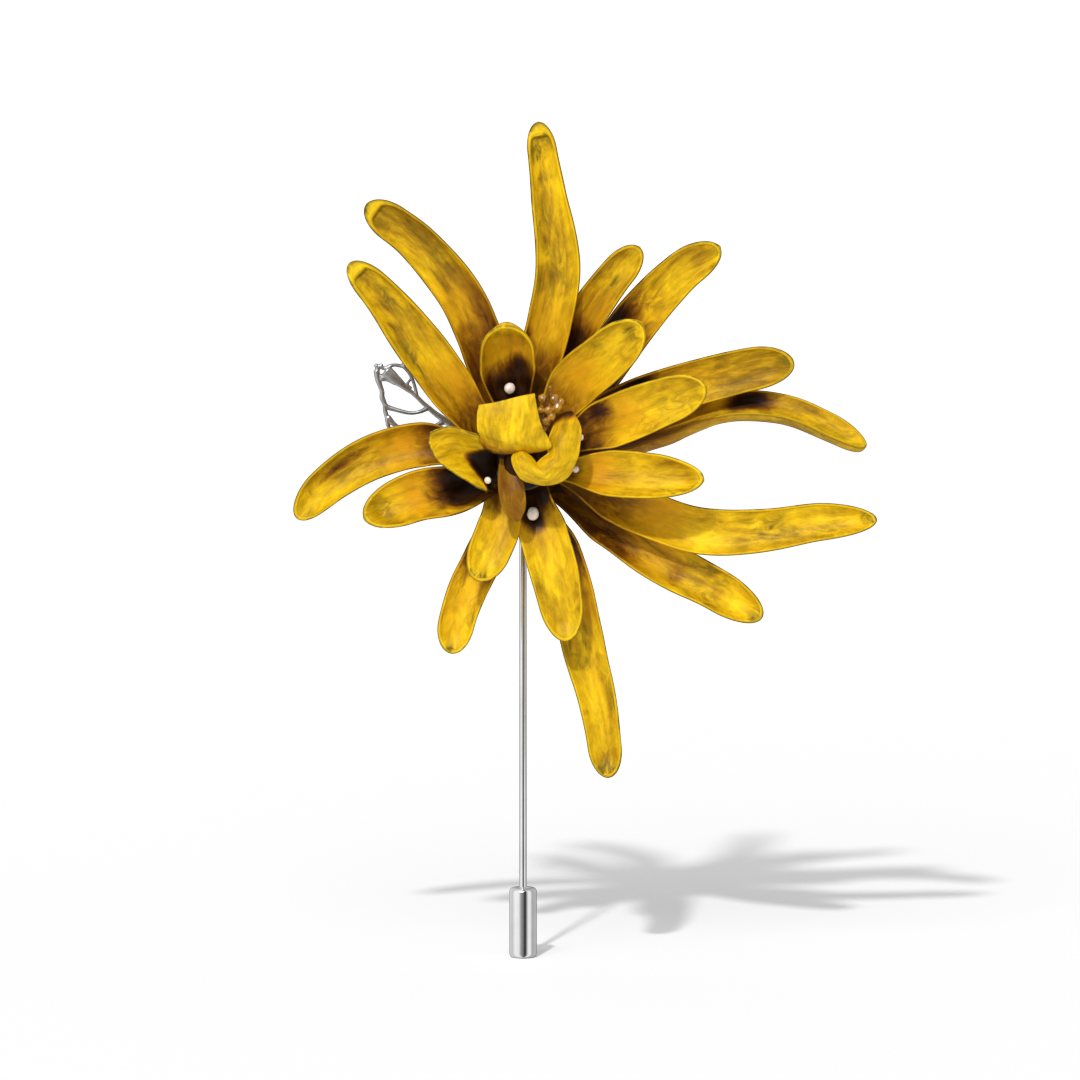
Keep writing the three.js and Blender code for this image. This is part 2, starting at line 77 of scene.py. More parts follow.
# Outer petals, clockwise from the top. root is the angle round the boss and the seat's depth on it,
# size is half the width and the depth of the back, and tip is the share of the width there and the
# rounded length in half widths. hollow is the trough's depth as a share of the back's, lip the closed
# length at the tip, and hood how blunt the trough ends there. dark is where the dark root starts to
# fade, how far the fade goes, and its strength; the dark root is brown paint together with painted
# shade where the petal goes down into the flower. dark_at, olive_at, warm_at and glow_at are patches
# of paint: place along and across, length and width, all as shares, and strength. The dark_at and
# glow_at patches are partly painted shade and painted highlight, and partly darker and lighter paint.
OUTER_PETALS = [
    dict(root=(88, -8.6), size=(3.2, 2.6), tip=(0.62, 1.2), lip=2.1, hood=0.4, dark=(4, 9, 0.55),
         points=[(3.9, -9.8, 19.8), (5, -10, 28.2), (3.6, -9.5, 37.9), (2.1, -9, 48)],
         olive_at=[(0.9, -0.3, 0.045, 0.8, 1.1), (0.83, -0.6, 0.05, 0.5, 0.9), (0.7, -0.6, 0.1, 0.5, 0.7),
                   (0.5, 0.1, 0.12, 0.5, 0.6)],
         glow_at=[(0.72, 0.6, 0.2, 0.4, 0.35), (0.3, 0.2, 0.14, 0.6, 0.15)],
         dark_at=[(0.24, -0.95, 0.05, 0.3, 0.7)]),
    dict(root=(66, -6.1), size=(2.8, 2), root_share=0.5, dark=(10, 6, 0.8), glow=-0.12,
         points=[(6.9, -7, 16.7), (9.9, -8.2, 21.6), (13.1, -9, 26), (16.6, -9, 30.1)],
         warm_at=[(0.42, 0.2, 0.12, 0.9, 0.5)], olive_at=[(0.76, -0.1, 0.06, 0.6, 0.9)],
         glow_at=[(0.9, 0, 0.08, 0.9, 0.3)]),
    dict(root=(40, -5.3), size=(3.4, 1.9), tip=(0.78, 1.5), root_share=0.5, dark=(13, 7, 0.85), glow=0.05,
         points=[(12.8, -5.6, 14.7), (18.3, -6.6, 22), (23.1, -7.8, 26.8), (28, -8.5, 30.1)],
         dark_at=[(0.5, -0.6, 0.1, 0.6, 0.5)],
         olive_at=[(0.6, -0.2, 0.1, 0.8, 0.9), (0.95, 0.6, 0.035, 0.5, 1.4)],
         glow_at=[(0.7, 0.3, 0.14, 0.7, 0.3)]),
    dict(root=(24, -8.2), size=(3.3, 2.2), tip=(0.92, 1.8), dark=(7, 11, 0.62), glow=-0.08,
         points=[(16.7, -9, 8.2), (25.3, -9.5, 10.9), (32.4, -9.5, 12.7), (38.6, -9.5, 13.6)],
         warm_at=[(0.6, 0.1, 0.2, 0.6, 0.3)],
         olive_at=[(0.68, 0.3, 0.12, 0.6, 0.8), (0.45, -0.6, 0.1, 0.4, 0.7), (0.97, 0, 0.03, 0.8, 1)],
         dark_at=[(0.36, -0.7, 0.06, 0.4, 0.8)]),
    dict(root=(3, -5.7), size=(3.1, 2.6), tip=(0.8, 2), turn=(-70, -55), olive=0.6, hollow=0.8,
         dark=(9, 10, 0.4), glow=0.05,
         points=[(19.6, -8.5, 4.2), (28.1, -9, 7.6), (36.7, -9, 7.3), (43.9, -9, 4.6), (48.9, -9, 1.6)],
         olive_at=[(0.5, 0.5, 0.16, 0.5, 0.6)],
         dark_at=[(0.6, -0.6, 0.07, 0.5, 0.95), (0.54, -0.3, 0.04, 0.4, 0.5)]),
    dict(root=(-20, -8.2), size=(3.3, 2.5), tip=(0.75, 2.6), turn=(0, -15), dark=(5, 11, 0.48), glow=0.15,
         points=[(16.7, -9, -7.7), (25.3, -10, -10.4), (33.9, -10, -10.4), (42.4, -10, -9.1),
                 (50.4, -10, -8.9)], warm_at=[(0.28, -0.2, 0.08, 0.7, 0.5)],
         glow_at=[(0.44, 0.3, 0.08, 0.7, 0.4)],
         olive_at=[(0.66, -0.1, 0.07, 0.5, 0.8), (0.82, 0.6, 0.15, 0.4, 0.7), (0.98, 0, 0.03, 1, 1)]),
    dict(root=(-43, -5.7), size=(3.3, 2.4), tip=(0.85, 2), turn=(-15, -10), dark=(7, 9, 0.55), hollow=0.75,
         points=[(12.4, -6.8, -9.9), (19.6, -8, -14.8), (27.4, -9, -18.9), (34.1, -9, -23)],
         dark_at=[(0.36, 0.6, 0.1, 0.5, 0.3), (0.59, 0.1, 0.04, 0.8, 0.35)],
         olive_at=[(0.72, -0.6, 0.09, 0.4, 1), (0.76, 0.6, 0.08, 0.4, 0.8), (0.98, 0.4, 0.03, 0.8, 1.4)],
         glow_at=[(0.86, 0.1, 0.06, 0.6, 0.5)]),
    dict(root=(-74, -8.2), size=(3.1, 2.3), tip=(0.74, 1.4), dark=(7, 9, 0.62), glow=0.05,
         points=[(6.1, -8, -16.4), (8.3, -8.5, -25.6), (10.7, -9, -35.6), (12.3, -9, -46)],
         olive_at=[(0.52, 0.3, 0.07, 0.7, 0.9), (0.97, 0, 0.04, 1, 1.6), (0.7, -0.8, 0.1, 0.3, 0.7)],
         glow_at=[(0.76, 0.2, 0.12, 0.6, 0.3)], warm_at=[(0.44, 0.6, 0.05, 0.4, 0.7)]),
    dict(root=(-112, -5.7), size=(2.8, 2.2), tip=(0.9, 1.5), dark=(7, 7, 0.62), glow=0.25,
         points=[(-5.4, -7, -14), (-7.9, -8, -19.2), (-9.4, -8.5, -23.7), (-10.3, -8.5, -28.2)],
         warm_at=[(0.82, 0.2, 0.1, 0.7, 0.4)],
         olive_at=[(0.58, 0.3, 0.06, 0.8, 1.2), (0.68, -0.9, 0.12, 0.4, 0.9), (0.985, 0, 0.03, 1, 1.4)]),
    dict(root=(177, -8.2), size=(3.2, 2.5), tip=(0.78, 1.8), dark=(3, 9, 0.62), hollow=0.8,
         points=[(-14, -9, 1.9), (-21.1, -9.5, 0.2), (-27.6, -10, -3.7), (-32.3, -9.5, -8.6)],
         dark_at=[(0.66, 0.35, 0.17, 0.22, 0.5)],
         olive_at=[(0.62, 0.4, 0.22, 0.4, 1), (0.95, -0.6, 0.06, 0.4, 0.8)],
         warm_at=[(0.3, 0.3, 0.1, 0.8, 0.7)], glow_at=[(0.88, 0, 0.08, 0.7, 0.4)]),
    dict(root=(146, -8.2), size=(3.5, 2.6), tip=(0.62, 1.2), turn=(25, 0), lip=2.2, hood=0.4,
         dark=(0, 9, 0.55), root_share=0.75, ridges=[(-0.35, 0.12, 0.62, 0.45)],
         points=[(-10.2, -9.4, 9.9), (-15.7, -10, 17.6), (-20.8, -10, 24), (-24.7, -10, 27.9)],
         olive_at=[(0.4, -0.5, 0.2, 0.22, 1.1), (0.78, 0.2, 0.1, 0.5, 0.7), (0.88, -0.2, 0.05, 0.4, 0.6)],
         warm_at=[(0.22, 0.5, 0.1, 0.5, 0.6)]),
    dict(root=(114, -5.7), size=(3.2, 2.3), tip=(0.8, 1.4), root_share=0.85, lip=1.9, hood=0.5,
         dark=(6, 11, 0.55), glow=-0.16,
         points=[(-6.3, -6.6, 17.4), (-9.7, -7, 24.2), (-15, -7, 30.4), (-22.3, -7, 36)],
         olive_at=[(0.62, 0.3, 0.2, 0.4, 0.8)], dark_at=[(0.42, 0.6, 0.14, 0.5, 0.3)],
         glow_at=[(0.6, -0.8, 0.3, 0.25, 0.45)]),
]

# Inner petals, clockwise from the cup above the heart. A bead is its place along the petal, how far it
# is to one side and how far it stands over the open side.
INNER_PETALS = [
    dict(root=(101, -10.9), size=(4, 3), tip=(0.95, 1), bead=(0.28, 0, -0.4), bowl=3, hollow=1,
         dark=(4, 5, 0.85), glow=0.1,
         points=[(-2.1, -13, 12), (-2.3, -15.5, 16.4), (-2.4, -16.5, 19.8)],
         dark_at=[(0.5, 0.4, 0.12, 0.4, 0.5)], warm_at=[(0.72, 0, 0.2, 0.7, 0.7)]),
    dict(root=(55, -10.9), size=(3.7, 2.4), tip=(0.9, 1.5), dark=(0, 10, 0.55), glow=0.12,
         points=[(7.4, -13, 11), (11.7, -16, 15.2), (16.9, -18, 20.1)],
         warm_at=[(0.36, 0, 0.16, 0.8, 0.6)],
         olive_at=[(0.9, 0.2, 0.05, 0.6, 0.9), (0.62, -0.6, 0.12, 0.3, 0.7)],
         glow_at=[(0.5, 0.6, 0.14, 0.4, 0.15)]),
    dict(root=(19, -10.9), size=(3.7, 2.4), root_share=0.48, bead=(0.14, 0, 0.7), dark=(1, 10, 0.75),
         glow=0.15,
         points=[(11, -13.5, 4.9), (18.1, -16.5, 8.2), (26, -18, 11.3)],
         dark_at=[(0.32, -0.6, 0.08, 0.5, 0.5)], warm_at=[(0.46, -0.2, 0.1, 0.6, 0.6)],
         olive_at=[(0.8, 0.3, 0.12, 0.5, 0.6), (0.55, 0.7, 0.1, 0.4, 0.5)]),
    dict(root=(-14, -10.9), size=(3.4, 2.6), tip=(0.85, 2.2), turn=(-20, -15), root_share=0.52,
         bead=(0.12, 0, 0.8), hollow=0.8, dark=(0, 4, 0.45), glow=0.12,
         points=[(9.6, -13.5, -1.5), (17.4, -16, -1.8), (25.7, -17, -2.2)],
         warm_at=[(0.26, 0, 0.12, 0.8, 0.9)], olive_at=[(0.8, 0.6, 0.2, 0.3, 0.7)]),
    dict(root=(-77, -10.9), size=(3.5, 2.3), tip=(0.8, 1.5), neck=5, root_share=0.78, bead=(0.1, 0.5, 0.8),
         dark=(0, 3.5, 0.8), glow=0.2,
         points=[(3.2, -13, -11.4), (4.9, -14, -17.7), (6.3, -14, -25.8)],
         dark_at=[(0.13, 0.2, 0.08, 0.5, 0.9)],
         olive_at=[(0.7, -0.8, 0.2, 0.3, 0.6), (0.6, 0.8, 0.1, 0.3, 0.6)]),
    dict(root=(-119, -10.9), size=(3.1, 2.2), tip=(0.95, 1.5), neck=5, root_share=0.8, dark=(0, 4, 0.45),
         glow=0.2,
         points=[(-3.3, -12.5, -9.2), (-4.9, -14, -13.2), (-6.6, -15, -17)],
         olive_at=[(0.5, 0.6, 0.3, 0.3, 0.6), (0.93, 0, 0.05, 0.8, 1.2)],
         dark_at=[(0.985, -0.2, 0.02, 0.8, 0.5)]),
    dict(root=(205, -10.9), size=(3.7, 2.7), turn=(20, 15), root_share=0.85, dark=(4, 7, 0.92), glow=0.12,
         hollow=0.95,
         points=[(-9, -13, -3.9), (-15.4, -15.5, -4.9), (-22.6, -17, -7.7)],
         warm_at=[(0.55, 0.1, 0.08, 0.7, 0.8)],
         olive_at=[(0.85, 0, 0.15, 0.6, 0.6), (0.5, -0.9, 0.3, 0.3, 0.9)],
         dark_at=[(0.25, -1, 0.3, 0.45, -0.8)]),
]

# Sheets of the heart, each a net of points: rows from the root, columns across. The first folds up in
# front of the core, the second lies round its right side, the third is the cup at the left and the
# fourth the tongue below, a brown sheet that stands for the shade on the trough floor of the petal
# beneath. A bead lies in the cup.
HEART_SHEETS = {
    "fold": [
        [(-3.5, -15, 3.8), (-2.4, -15, 3.3), (-1, -15, 2.9), (0.4, -15, 2.8), (1.6, -15, 2.9)],
        [(-5.6, -17.8, 2.6), (-4.2, -17.8, 1.9), (-2.2, -17.9, 1.7), (0, -18, 1.8), (2.2, -18.1, 2.1)],
        [(-6.2, -19.9, 4.6), (-4.6, -20.2, 3.9), (-2.4, -20.3, 3.2), (0.2, -20.4, 2.8), (3.9, -20.4, 2.8)],
        [(-6.5, -20.7, 5.4), (-4.5, -21.4, 4.9), (-2.2, -21.5, 4.3), (0.4, -21.5, 4), (4, -21, 3.6)],
        [(-6.5, -20.9, 7.2), (-4.4, -21.7, 7.2), (-2.1, -21.9, 7), (0.2, -21.8, 6.8), (2.5, -21.2, 6.5)],
        [(-6.25, -20.5, 8.9), (-4.3, -21.1, 9.3), (-2.2, -21.3, 9.8), (-0.2, -21.2, 10.3),
         (1.7, -20.8, 10.6)],
    ],
    "crescent": [
        [(4.9, -16, 6.2), (5.8, -16.4, 7), (7.1, -16.4, 7.4)],
        [(3.9, -18.9, 4.6), (5.7, -20, 4.9), (8.3, -19, 5.5)],
        [(3.4, -19.4, 3), (5.6, -20.9, 3.1), (8.1, -19.6, 2.7)],
        [(3.6, -19.7, 1.9), (5.2, -21.2, 1.3), (7.6, -19.8, 0.7)],
        [(2.5, -19.9, 1), (4.2, -21.4, 0.1), (6.4, -19.9, -1.5)],
        [(1.8, -20, 0.5), (2.9, -21.4, -0.9), (4.1, -20, -2.6)],
        [(1.2, -20, 1.5), (1, -21.4, 0), (0.6, -20, -2.3)],
        [(0.5, -20, 2), (-0.2, -21.3, 1.1), (-1, -20, -0.7)],
        [(0, -19.6, 2.2), (-0.5, -20.6, 1.7), (-1.5, -19.6, 1.1)],
        [(-0.2, -19, 2.2), (-0.5, -19.4, 1.9), (-0.9, -19, 1.8)],
    ],
    "cup": [
        [(-4.4, -15.5, 3.1), (-3.7, -14.6, 0), (-4.4, -15, -4.2)],
        [(-6.3, -19.6, 4.5), (-6.2, -15.6, 0.6), (-5.8, -17.6, -3.6)],
        [(-8, -20, 5.1), (-8, -16.6, 1.2), (-7.9, -18.8, -2.3)],
        [(-10.1, -20.1, 5.8), (-9.8, -17.7, 2.6), (-10.1, -19.6, -0.8)],
        [(-12.1, -20, 5.3), (-11.9, -18.8, 3.8), (-12.3, -19.8, 1)],
        [(-13.2, -19.8, 4.8), (-13.3, -19.4, 4.2), (-13.4, -19.7, 3.3)],
    ],
    "shade_tongue": [
        [(-3.3, -15.8, 0.6), (-2.4, -15.6, 0.4), (-1.4, -15.8, 0.2)],
        [(-3.6, -17.1, -1.9), (-2, -16.8, -2), (0, -17.1, -2.4)],
        [(-3.4, -17.5, -4.4), (-1.6, -17.2, -4.5), (0.4, -17.5, -4.5)],
        [(-2.8, -17.3, -6.7), (-1.2, -17, -6.6), (0.4, -17.3, -6.3)],
        [(-1.6, -16.9, -8.2), (-0.9, -16.8, -8.3), (-0.3, -16.9, -8)],
    ],
}
SHEET_THICKNESS = 0.5

# Paint of the heart's sheets, whose dark is painted shade: the depth where the painted shade of the
# hollow starts, how soon it is full, how dark it gets, how dark the painted shade on the sides that
# face down is, and how bright the paint is. The tongue's dark is painted shade all over.
HEART_PAINT = {
    "fold": (-20.9, 3.6, 0.6, 0.0, 0.28),
    "crescent": (-18.8, 2.4, 0.9, 0.12, 0.2),
    "cup": (-17.4, 1.1, 1.0, 0.0, 0.22),
    "shade_tongue": (-20, 1, 0.32, 0.1, -0.3),
}

# Pearls: radius and how much taller than wide, in the order of the petals, and the one in the heart
PEARL_SIZES = [(0.8, 1), (0.5, 1), (0.5, 1), (0.84, 1.18), (0.5, 1)]
HEART_BEAD = (-5.0, -17.2, -2.3)

LEAF_DEPTH = -1.75

# Steps of a dressed petal: along its body, round its tip, across one wall and over the rim
BODY_STATIONS, TIP_STATIONS, WALL_STEPS, RIM_STEPS = 64, 22, 24, 7
SHEET_STEPS = 40

# The floor's radius in metres, and the way the sunlight travels
FLOOR_RADIUS = 8
SUN_TRAVEL = (27, 117, -100)


def linear(hex_colour):
    """An sRGB colour such as "e2b400" as linear red, green, blue and alpha"""
    values = [int(hex_colour[i:i + 2], 16) / 255 for i in (0, 2, 4)]
    return (*[v / 12.92 if v <= 0.04045 else ((v + 0.055) / 1.055) ** 2.4 for v in values], 1)


def ease(value):
    """0 to 1 with a soft start and end"""
    x = np.clip(value, 0, 1)
    return x * x * (3 - 2 * x)


def lerp(a, b, share):
    return a + (b - a) * share


def unit(vectors):
    return vectors / norm(vectors, axis=-1, keepdims=True)


# Materials

def feed(tree, socket, value):
    """Links an output to a socket, or sets the socket to a number or colour"""
    if isinstance(value, bpy.types.NodeSocket):
        tree.links.new(value, socket)
    else:
        socket.default_value = value


def add_node(tree, kind, inputs=None, **settings):
    """A new node with its settings, and its inputs by name or place"""
    made = tree.nodes.new("ShaderNode" + kind)
    for name, value in settings.items():
        setattr(made, name, value)
    for name, value in (inputs or {}).items():
        feed(tree, made.inputs[name], value)
    return made


def add_ramp(tree, factor, stops):
    """The colour at factor on a ramp of (place, colour) stops"""
    node = add_node(tree, "ValToRGB", {"Fac": factor})
    elements = node.color_ramp.elements
    while len(elements) < len(stops):
        elements.new(1)
    for element, (place, colour) in zip(elements, stops):
        element.position = place
        element.color = linear(colour) if isinstance(colour, str) else (colour, colour, colour, 1)
    return node.outputs["Color"]


def add_mix(tree, factor, a, b):
    """The mix of two colours"""
    return add_node(tree, "Mix", {0: factor, 6: a, 7: b}, data_type="RGBA").outputs[2]


def add_math(tree, operation, *values, clamp=False):
    return add_node(tree, "Math", dict(enumerate(values)), operation=operation, use_clamp=clamp).outputs[0]


def add_scaled(tree, value, factor, offset, clamp=False):
    """value * factor + offset"""
    return add_math(tree, "MULTIPLY_ADD", value, factor, offset, clamp=clamp)


def add_noise(tree, coordinates, stretch, detail=3, roughness=0.55, distortion=0):
    """Noise over stretched coordinates"""
    place = add_node(tree, "Mapping", {"Vector": coordinates, "Scale": stretch}).outputs["Vector"]
    return add_node(tree, "TexNoise", {"Vector": place, "Scale": 1, "Detail": detail,
                                       "Roughness": roughness, "Distortion": distortion}).outputs["Fac"]


def add_bump(tree, height, strength, distance):
    return add_node(tree, "Bump", {"Height": height, "Strength": strength, "Distance": distance}).outputs[0]


def add_attribute(tree, name, output="Fac"):
    return add_node(tree, "Attribute", attribute_name=name).outputs[output]


def new_material(name):
    """A material with its shader, and its node tree"""
    material = bpy.data.materials.new(name)
    material.use_nodes = True
    tree = material.node_tree
    return material, tree, tree.nodes["Principled BSDF"]


def set_shader(tree, shader, **sockets):
    """Sets or links the shader's sockets, named with _ for each space"""
    for name, value in sockets.items():
        feed(tree, shader.inputs[name.replace("_", " ")], value)


def yellow_paint_material():
    """Hand-painted yellow: brushed ochre and olive, brighter rims and tips that are partly painted
    highlight, and dark roots of brown paint with painted shade
    """
    material, tree, shader = new_material("yellow_paint")
    flow = add_attribute(tree, "flow", "Vector")
    shade, olive, glow, warm, edge = (
        add_attribute(tree, name) for name in ("shade", "olive", "glow", "warm", "edge"))
    mottle = add_noise(tree, flow, (0.18, 0.3, 1), detail=4, distortion=0.5)
    streak = add_noise(tree, flow, (0.16, 1.1, 1), detail=4, roughness=0.55, distortion=0.4)
    hair = add_noise(tree, flow, (1.1, 5, 1), detail=3, roughness=0.65)
    stain = add_noise(tree, flow, (0.34, 0.8, 2), detail=5, roughness=0.65, distortion=0.9)
    fleck = add_noise(tree, flow, (2.0, 3.0, 3), detail=3, roughness=0.7, distortion=0.5)

    tone = add_scaled(tree, mottle, 1.4, -0.88)
    tone = add_scaled(tree, streak, 1.0, tone)
    tone = add_scaled(tree, hair, 0.3, tone)
    # glow lightens the paint: lighter paint, and painted highlight on rims and tips
    tone = add_math(tree, "ADD", tone, glow, clamp=True)
    colour = add_ramp(tree, tone, [(0.0, "6c4c02"), (0.22, "966f03"), (0.35, "b08504"), (0.5, "c89c06"),
                                   (0.7, "deb108"), (1.0, "f8cc14")])

    fleck_amount = add_scaled(tree, fleck, 9, -5.9, clamp=True)
    fleck_amount = add_math(tree, "MULTIPLY", fleck_amount, 0.6)
    colour = add_mix(tree, fleck_amount, colour, linear("8a5c04"))

    olive_amount = add_scaled(tree, stain, 4, -1.65)
    olive_amount = add_math(tree, "MULTIPLY", olive_amount, olive, clamp=True)
    colour = add_mix(tree, olive_amount, colour, linear("786208"))

    # The thin dark outline: olive paint on the rim's edge, and painted shade inside the rim and at the
    # trough's end
    line = add_math(tree, "MULTIPLY", edge, add_scaled(tree, stain, 3, -0.8), clamp=True)
    colour = add_mix(tree, line, colour, linear("665408"))

    warm_streak = add_scaled(tree, streak, 1.8, -0.4)
    warm_amount = add_math(tree, "MULTIPLY", warm, warm_streak, clamp=True)
    colour = add_mix(tree, warm_amount, colour, linear("d48c08"))

    # The dark roots, patches and hollows: brown paint, with painted shade where the petals go down into the
    # flower and in the heart's hollow
    dark = add_scaled(tree, stain, 0.8, add_math(tree, "SUBTRACT", shade, 0.4))
    dark = add_math(tree, "MULTIPLY", dark, add_math(tree, "MULTIPLY", shade, 4, clamp=True), clamp=True)
    root = add_ramp(tree, dark, [(0.0, "b08204"), (0.1, "966402"), (0.35, "784602"), (0.6, "4b2602"),
                                 (0.85, "241003"), (1.0, "140903")])
    root_amount = add_ramp(tree, dark, [(0.02, 0.0), (0.2, 0.5), (0.45, 0.9), (0.65, 1.0)])
    colour = add_mix(tree, root_amount, colour, root)

    roughness = add_scaled(tree, dark, -0.25, 0.5)
    roughness = add_scaled(tree, streak, 0.1, roughness)
    height = add_scaled(tree, hair, 0.5, streak)
    bump = add_bump(tree, height, 0.4, 0.00012)
    set_shader(tree, shader, Base_Color=colour, Roughness=roughness, Normal=bump, Specular_IOR_Level=0.16)
    return material


def metal_material(name, light, dark, roughness, grain, bump):
    """Bare metal with faint stains and a fine grain. grain is the noise's scale per metre on each axis."""
    material, tree, shader = new_material(name)
    place = add_node(tree, "TexCoord").outputs["Object"]
    stain = add_noise(tree, place, (260, 260, 260), detail=4)
    fine = add_noise(tree, place, grain, detail=2)
    colour = add_ramp(tree, stain, [(0.3, dark), (0.62, light)])
    rough = add_scaled(tree, fine, roughness * 0.6, roughness * 0.7)
    normal = add_bump(tree, fine, bump, 0.00004)
    set_shader(tree, shader, Base_Color=colour, Metallic=1.0, Roughness=rough, Normal=normal)
    return material


def gloss_material(name, light, dark, roughness, coat, scale):
    """A glossy finish whose colour wanders between two shades"""
    material, tree, shader = new_material(name)
    place = add_node(tree, "TexCoord").outputs["Object"]
    tone = add_noise(tree, place, (scale, scale, scale), detail=4, distortion=0.5)
    colour = add_ramp(tree, tone, [(0.32, dark), (0.66, light)])
    rough = add_scaled(tree, tone, 0.15, roughness)
    normal = add_bump(tree, tone, 0.3, 0.0001)
    set_shader(tree, shader, Base_Color=colour, Roughness=rough, Normal=normal, Coat_Weight=coat,
               Coat_Roughness=0.05)
    return material


MATERIALS = {
    "yellow_paint": yellow_paint_material(),
    # dark_paint: the boss's dark brown paint, which also stands for the shade in the flower's deep centre
    "dark_paint": gloss_material("dark_paint", "3a2006", "120903", 0.3, 0.3, 400),
    "silver_metal": metal_material("silver_metal", "bcbec0", "8e9092", 0.42, (2500, 2500, 2500), 0.4),
    "chrome_steel": metal_material("chrome_steel", "e6e6e6", "dadada", 0.12, (9000, 9000, 300), 0.02),
    "gold_brass": gloss_material("gold_brass", "c68a12", "6a4406", 0.1, 0.8, 700),
    "pearl": gloss_material("pearl", "f2e8dc", "c8ae9a", 0.16, 0.7, 700),
    "silicone_grip": gloss_material("silicone_grip", "dcdcd6", "b8b8b0", 0.5, 0.0, 500),
}


# Making objects

def place_object(name, data):
    """A new object in the scene"""
    made = bpy.data.objects.new(name, data)
    bpy.context.scene.collection.objects.link(made)
    return made


def finish_piece(name, mesh, slot, nodes, body="pin"):
    """Puts a mesh in the scene as a piece of the object that stands for CAD nodes"""
    piece = place_object(name, mesh)
    mesh.materials.clear()
    mesh.materials.append(MATERIALS[slot])
    for polygon in mesh.polygons:
        polygon.use_smooth = True
    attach(piece, body)
    if nodes:
        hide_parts(*nodes)


def add_attributes(mesh, attributes):
    """Stores the flow, a vector, and other values, plain numbers, for each point of a mesh"""
    for key, values in attributes.items():
        kind, field = ("FLOAT_VECTOR", "vector") if key == "flow" else ("FLOAT", "value")
        layer = mesh.attributes.new(key, kind, "POINT")
        layer.data.foreach_set(field, np.asarray(values, np.float32).ravel())
    return mesh


def mesh_from(name, points, faces):
    """A mesh from points in millimetres"""
    mesh = bpy.data.meshes.new(name)
    mesh.from_pydata((np.asarray(points).reshape(-1, 3) * MM).tolist(), [], faces)
    return mesh


def taken_from(bm, name):
    """The mesh that a bmesh holds"""
    mesh = bpy.data.meshes.new(name)
    bm.to_mesh(mesh)
    bm.free()
    return mesh


def weld(mesh, distance=0.002):
    """Joins points closer than a distance in millimetres, and faces all sides outwards"""
    bm = bmesh.new()
    bm.from_mesh(mesh)
    bmesh.ops.remove_doubles(bm, verts=bm.verts, dist=distance * MM)
    bmesh.ops.recalc_face_normals(bm, faces=bm.faces)
    bm.to_mesh(mesh)
    bm.free()
    return mesh


def rounded(profile, radius, steps):
    """The profile with each inner corner rounded off by an arc-like curve"""
    points = [np.array(p, float) for p in profile]
    result = [points[0]]
    for before, corner, after in zip(points, points[1:], points[2:]):
        edges = [before - corner, after - corner]
        lengths = [norm(edge) for edge in edges]
        reach = min(radius, lengths[0] / 2, lengths[1] / 2)
        start, end = (corner + edge / length * reach for edge, length in zip(edges, lengths))
        for i in range(steps + 1):
            t = i / steps
            result.append((1 - t) ** 2 * start + 2 * t * (1 - t) * corner + t * t * end)
    return result + [points[-1]]


def ring_faces(rings, sides):
    """The faces between each ring of points and the next"""
    return [(r * sides + i, r * sides + (i + 1) % sides,
             (r + 1) * sides + (i + 1) % sides, (r + 1) * sides + i)
            for r in range(rings - 1) for i in range(sides)]


def turned(name, profile, rounding, axis, sides, centre=(0, 0, 0), steps=5):
    """A round mesh from (radius, place along the axis) pairs, with its corners rounded off"""
    points = []
    profile = rounded(profile, rounding, steps)
    for radius, place in profile:
        for i in range(sides):
            angle = 2 * math.pi * i / sides
            flat = (radius * math.cos(angle), radius * math.sin(angle))
            point = (flat[0], place, flat[1]) if axis == "Y" else (flat[0], flat[1], place)
            points.append(np.array(point) + centre)
    return weld(mesh_from(name, points, ring_faces(len(profile), sides)))


# Curves

class Curve:
    """A centripetal curve through points, measured by length as the part's source does"""

    def __init__(self, points, steps=80):
        p = np.array(points, float)
        p = np.vstack([2 * p[0] - p[1], p, 2 * p[-1] - p[-2]])
        t = np.linspace(0, 1, steps, endpoint=False)[:, None]
        pieces = []
        for before, start, end, after in zip(p, p[1:], p[2:], p[3:]):
            spans = ((before, start), (start, end), (end, after))
            d0, d1, d2 = (norm(b - a) ** 0.5 for a, b in spans)
            leave = ((start - before) / d0 - (end - before) / (d0 + d1) + (end - start) / d1) * d1
            arrive = ((end - start) / d1 - (after - start) / (d1 + d2) + (after - end) / d2) * d1
            pieces.append(start + leave * t + (3 * (end - start) - 2 * leave - arrive) * t ** 2
                          + (2 * (start - end) + leave + arrive) * t ** 3)
        pieces.append(p[-2][None])
        self.samples = np.vstack(pieces)
        steps_between = norm(np.diff(self.samples, axis=0), axis=1)
        self.lengths = np.concatenate([[0], np.cumsum(steps_between)])
        self.length = self.lengths[-1]

    def at(self, along):
        """Places at shares of the length. Before the start the curve goes straight on."""
        wanted = np.asarray(along) * self.length
        inside = np.clip(wanted, 0, self.length)
        places = np.stack([np.interp(inside, self.lengths, self.samples[:, k]) for k in range(3)], axis=-1)
        first = self.samples[1] - self.samples[0]
        return places + np.minimum(wanted, 0)[..., None] * (first / norm(first))

    def tangent(self, along):
        reach = 0.004
        inside = np.clip(along, reach, 1 - reach)
        return unit(self.at(inside + reach) - self.at(inside - reach))


def boss_radius_at(depth):
    return lerp(BOSS_BACK_RADIUS, BOSS_FRONT_RADIUS, (depth - BOSS_BACK) / (BOSS_FRONT - BOSS_BACK))


def petal_curve(row):
    """The middle of a petal's open side, from its seat on the boss"""
    angle, seat = math.radians(row["root"][0]), row["root"][1]
    radius = boss_radius_at(seat + row["size"][1]) + SEAT_GAP
    return Curve([(radius * math.cos(angle), seat, radius * math.sin(angle)), *row["points"]])


